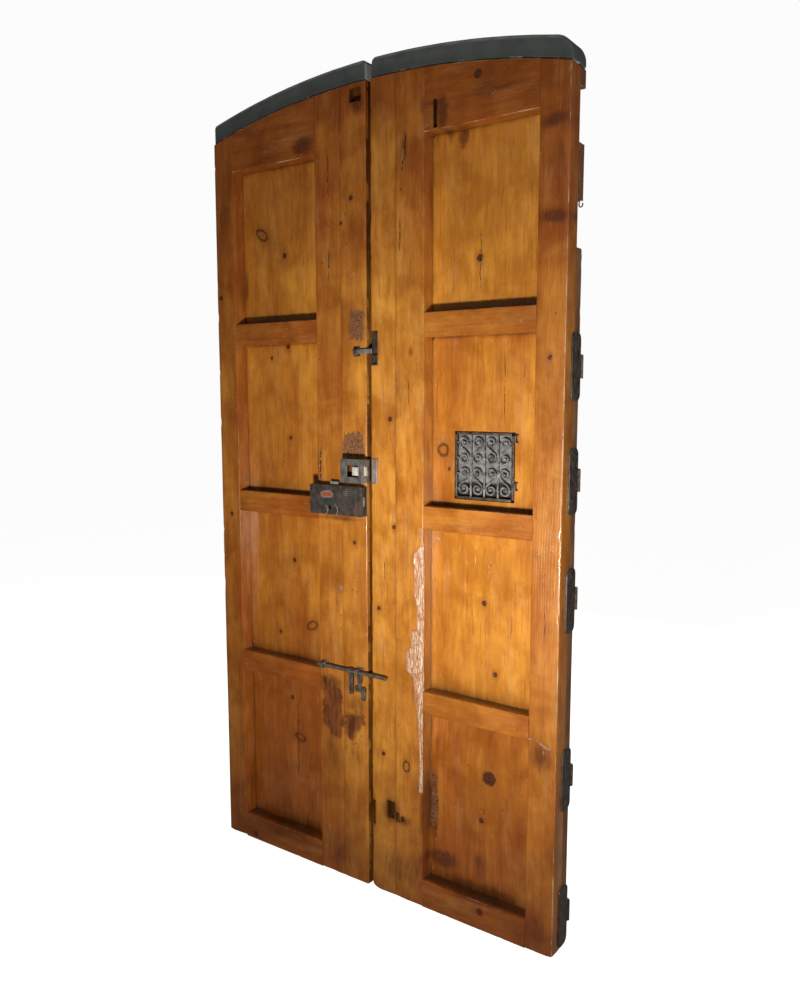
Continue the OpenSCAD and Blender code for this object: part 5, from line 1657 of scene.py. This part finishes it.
# every metal piece: body, slot, material, and how it is worked
metalPieces = {
    "slide_bolt_bar": ("slide_bolt", "dark_iron", "bolt", "forged", 0.0013, 0.0008),
    "bolt_keepers": ("left_leaf", "dark_iron", "bolt", "forged", 0.0009, 0.0008),
    "bolt_hasp": ("hasp", "dark_iron", "bolt", "forged", 0.0009, 0.0008),
    "hasp_staple": ("left_leaf", "dark_iron", "bolt", "forged", 0.0010, 0.0016),
    "catch_plate": ("left_leaf", "dark_iron", "dark", "forged", 0.0009, 0.0010),
    "catch_bar": ("catch", "worn_steel", "worn", "forged", 0.0008, 0.0006),
    "catch_socket": ("right_leaf", "dark_iron", "dark", "forged", 0.0011, 0.0010),
    "keyhole_iron": ("right_leaf", "dark_iron", "dark", "soft", 0.0012, 2),
    "bent_nail": ("right_leaf", "dark_iron", "dark", "forged", 0.0006, 0.0003),
    "lock_back_plate": ("left_leaf", "dark_iron", "dark", "soft", 0.0006, 2),
    "lock_case": ("left_leaf", "dark_iron", "lock", "soft", 0.0016, 3),
    "lock_bolt": ("lock_bolt_body", "worn_steel", "worn", "soft", 0.0010, 2),
    "latch_case": ("left_leaf", "worn_steel", "latch", "soft", 0.0014, 3),
    "latch_bolt": ("latch_bolt_body", "worn_steel", "pale", "soft", 0.0010, 2),
    "latch_strike": ("right_leaf", "copper_brown_iron", "copper", "soft", 0.0010, 2),
    "left_door_hinge_plates": ("left_leaf", "dark_iron", "dark", "soft", 0.0006, 2),
    "right_door_hinge_plates": ("right_leaf", "dark_iron", "dark", "soft", 0.0006, 2),
    "wall_hinge_plates_left": ("hinge_side", "dark_iron", "dark", "soft", 0.0006, 2),
    "wall_hinge_plates_right": ("hinge_side", "dark_iron", "dark", "soft", 0.0006, 2),
    "hinge_pins_left": ("hinge_side", "dark_iron", "dark", "soft", 0.0008, 2),
    "hinge_pins_right": ("hinge_side", "dark_iron", "dark", "soft", 0.0008, 2),
    # the two top strips carry the painted shadow grey
    "left_top_strip": ("left_leaf", "grey_paint", "paintedShadow", "soft", 0.0055, 4),
    "right_top_strip": ("right_leaf", "grey_paint", "paintedShadow", "soft", 0.0055, 4),
    "grille_pintles": ("right_leaf", "dark_iron", "dark", "soft", 0.0006, 2),
    "grille_backing": ("right_leaf", "grey_iron", "backing", "soft", 0.0003, 1),
}


def buildMetal(materials):
    for i, (node, (body, slotName, finish, way, size, extra)) in enumerate(metalPieces.items()):
        mesh = forgedMesh(node, size, extra, 200 + i) if way == "forged" else softenedMesh(node, size, extra)
        finishPiece("metal_" + node, mesh, body, node, materials[finish], 40)


# the setting: pale floor, soft light and a camera in front, to the right

studio = {
    "camera": (1.595, -2.131, 1.588), "yaw": 35.115, "pitch": -6.899, "lens": 38.61,
    "keyPlace": (0.84, -1.62, 0.84), "keyAim": (0.20, 0.0, 1.36), "keySize": 0.20, "keyPower": 17.5,
          "keySpread": 112,
    "sidePlace": (3.0, 0.0, 1.7), "sideAim": (0.6, 0.0, 1.3), "sidePower": 24, "sideSize": 1.2,
    "fillPlace": (0.6, -3.4, 2.6), "fillPower": 6.0, "fillSize": 2.6,
    "rearPlace": (-0.4, 3.4, 1.9), "rearPower": 34, "rearSize": 1.6,
    "worldLight": 0.05, "background": 1.0, "floorGlow": 0.93, "floorBounce": 0.35,
}


def aimAt(thing, place, target):
    thing.location = place
    thing.rotation_euler = (Vector(target) - Vector(place)).to_track_quat("-Z", "Y").to_euler()


def addLight(name, place, target, size, power, colour, narrow=180):
    lamp = bpy.data.lights.new(name, "AREA")
    lamp.shape = "DISK"
    lamp.size = size
    lamp.energy = power
    lamp.color = colour
    lamp.spread = math.radians(narrow)
    holder = newObject(name, lamp)
    aimAt(holder, place, target)
    return holder


def buildStudio():
    scene = bpy.context.scene
    floor = makeMesh("floor", [(-14, -14, 0), (14, -14, 0), (14, 14, 0), (-14, 14, 0)], [(0, 1, 2, 3)])
    material, tree, shader = startMaterial("paleFloor")
    speck = noiseOf(tree, objectPlace(tree), 3.0, 3)
    seen = addNode(tree, "ShaderNodeLightPath").outputs["Is Camera Ray"]
    pale = mixed(tree, speck, (0.86, 0.86, 0.855), (0.90, 0.90, 0.895))
    dull = (studio["floorBounce"],) * 3
    tree.links.new(mixed(tree, seen, dull, pale), shader.inputs["Base Color"])
    shader.inputs["Roughness"].default_value = 0.8
    tree.links.new(times(tree, seen, studio["floorGlow"]), shader.inputs["Emission Strength"])
    shader.inputs["Emission Color"].default_value = (1, 1, 1, 1)
    floor.materials.append(material)
    newObject("floor", floor)
    addLight("key", studio["keyPlace"], studio["keyAim"], studio["keySize"], studio["keyPower"],
             (1.0, 0.95, 0.86), studio["keySpread"])
    addLight("fill", studio["fillPlace"], (0, 0, 1.2), studio["fillSize"], studio["fillPower"],
             (1.0, 0.98, 0.95))
    addLight("side", studio["sidePlace"], studio["sideAim"], studio["sideSize"], studio["sidePower"],
             (1.0, 0.97, 0.92))
    addLight("rear", studio["rearPlace"], (0, 0, 1.2), studio["rearSize"], studio["rearPower"],
             (1.0, 0.97, 0.93))
    world = bpy.data.worlds.new("paleRoom")
    scene.world = world
    world.use_nodes = True
    tree = world.node_tree
    tree.nodes.clear()
    path = addNode(tree, "ShaderNodeLightPath").outputs["Is Camera Ray"]
    seen = addNode(tree, "ShaderNodeBackground",
                   {"Color": (0.97, 0.97, 0.97, 1), "Strength": studio["background"]}).outputs[0]
    lit = addNode(tree, "ShaderNodeBackground",
                  {"Color": (1.0, 0.97, 0.93, 1), "Strength": studio["worldLight"]}).outputs[0]
    mix = addNode(tree, "ShaderNodeMixShader", {0: path, 1: lit, 2: seen}).outputs[0]
    addNode(tree, "ShaderNodeOutputWorld", {0: mix})
    lens = bpy.data.cameras.new("camera")
    lens.sensor_fit = "HORIZONTAL"
    lens.sensor_width = 36
    lens.lens = studio["lens"]
    camera = newObject("camera", lens)
    camera.location = studio["camera"]
    camera.rotation_euler = (math.radians(90 + studio["pitch"]), 0, math.radians(studio["yaw"]))
    scene.camera = camera
    scene.view_settings.view_transform = "Standard"


pines = {"frame": ("framePine", framePine), "panel": ("panelPine", panelPine),
         "back": ("backPine", backPine)}
metals = {"dark": ("darkIron", darkIron), "bolt": ("boltIron", boltIron), "latch": ("latchSteel", latchSteel),
          "worn": ("wornSteel", wornSteel), "copper": ("copperIron", copperIron),
          "paintedShadow": ("paintedShadowGrey", paintedShadowGrey), "lock": ("lockIron", lockIron),
          "scroll": ("scrollIron", scrollIron), "pale": ("paleSteel", paleSteel),
          "backing": ("backingIron", backingIron)}
materials = {key: makePine(*named) for key, named in pines.items()}
materials.update({key: makeMetal(*named) for key, named in metals.items()})
addLockMarks(materials["lock"])
# painted shadow along the foot of the grille backing
addBackingShadow(materials["backing"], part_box("grille_backing")[0].z + 0.006)
# painted highlight along the top strips' rim and ends, painted shadow low down
addStripShadowAndHighlight(materials["paintedShadow"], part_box("right_top_strip")[1].z - float(archHeight(0.02)))
print("materials are made")
buildLeaf("right", 1, materials)
print("right leaf is built")
buildLeaf("left", -1, materials)
print("left leaf is built")
buildMetal(materials)
buildGrille(materials)
buildHeads(materials)
print("metal is built")
buildStudio()
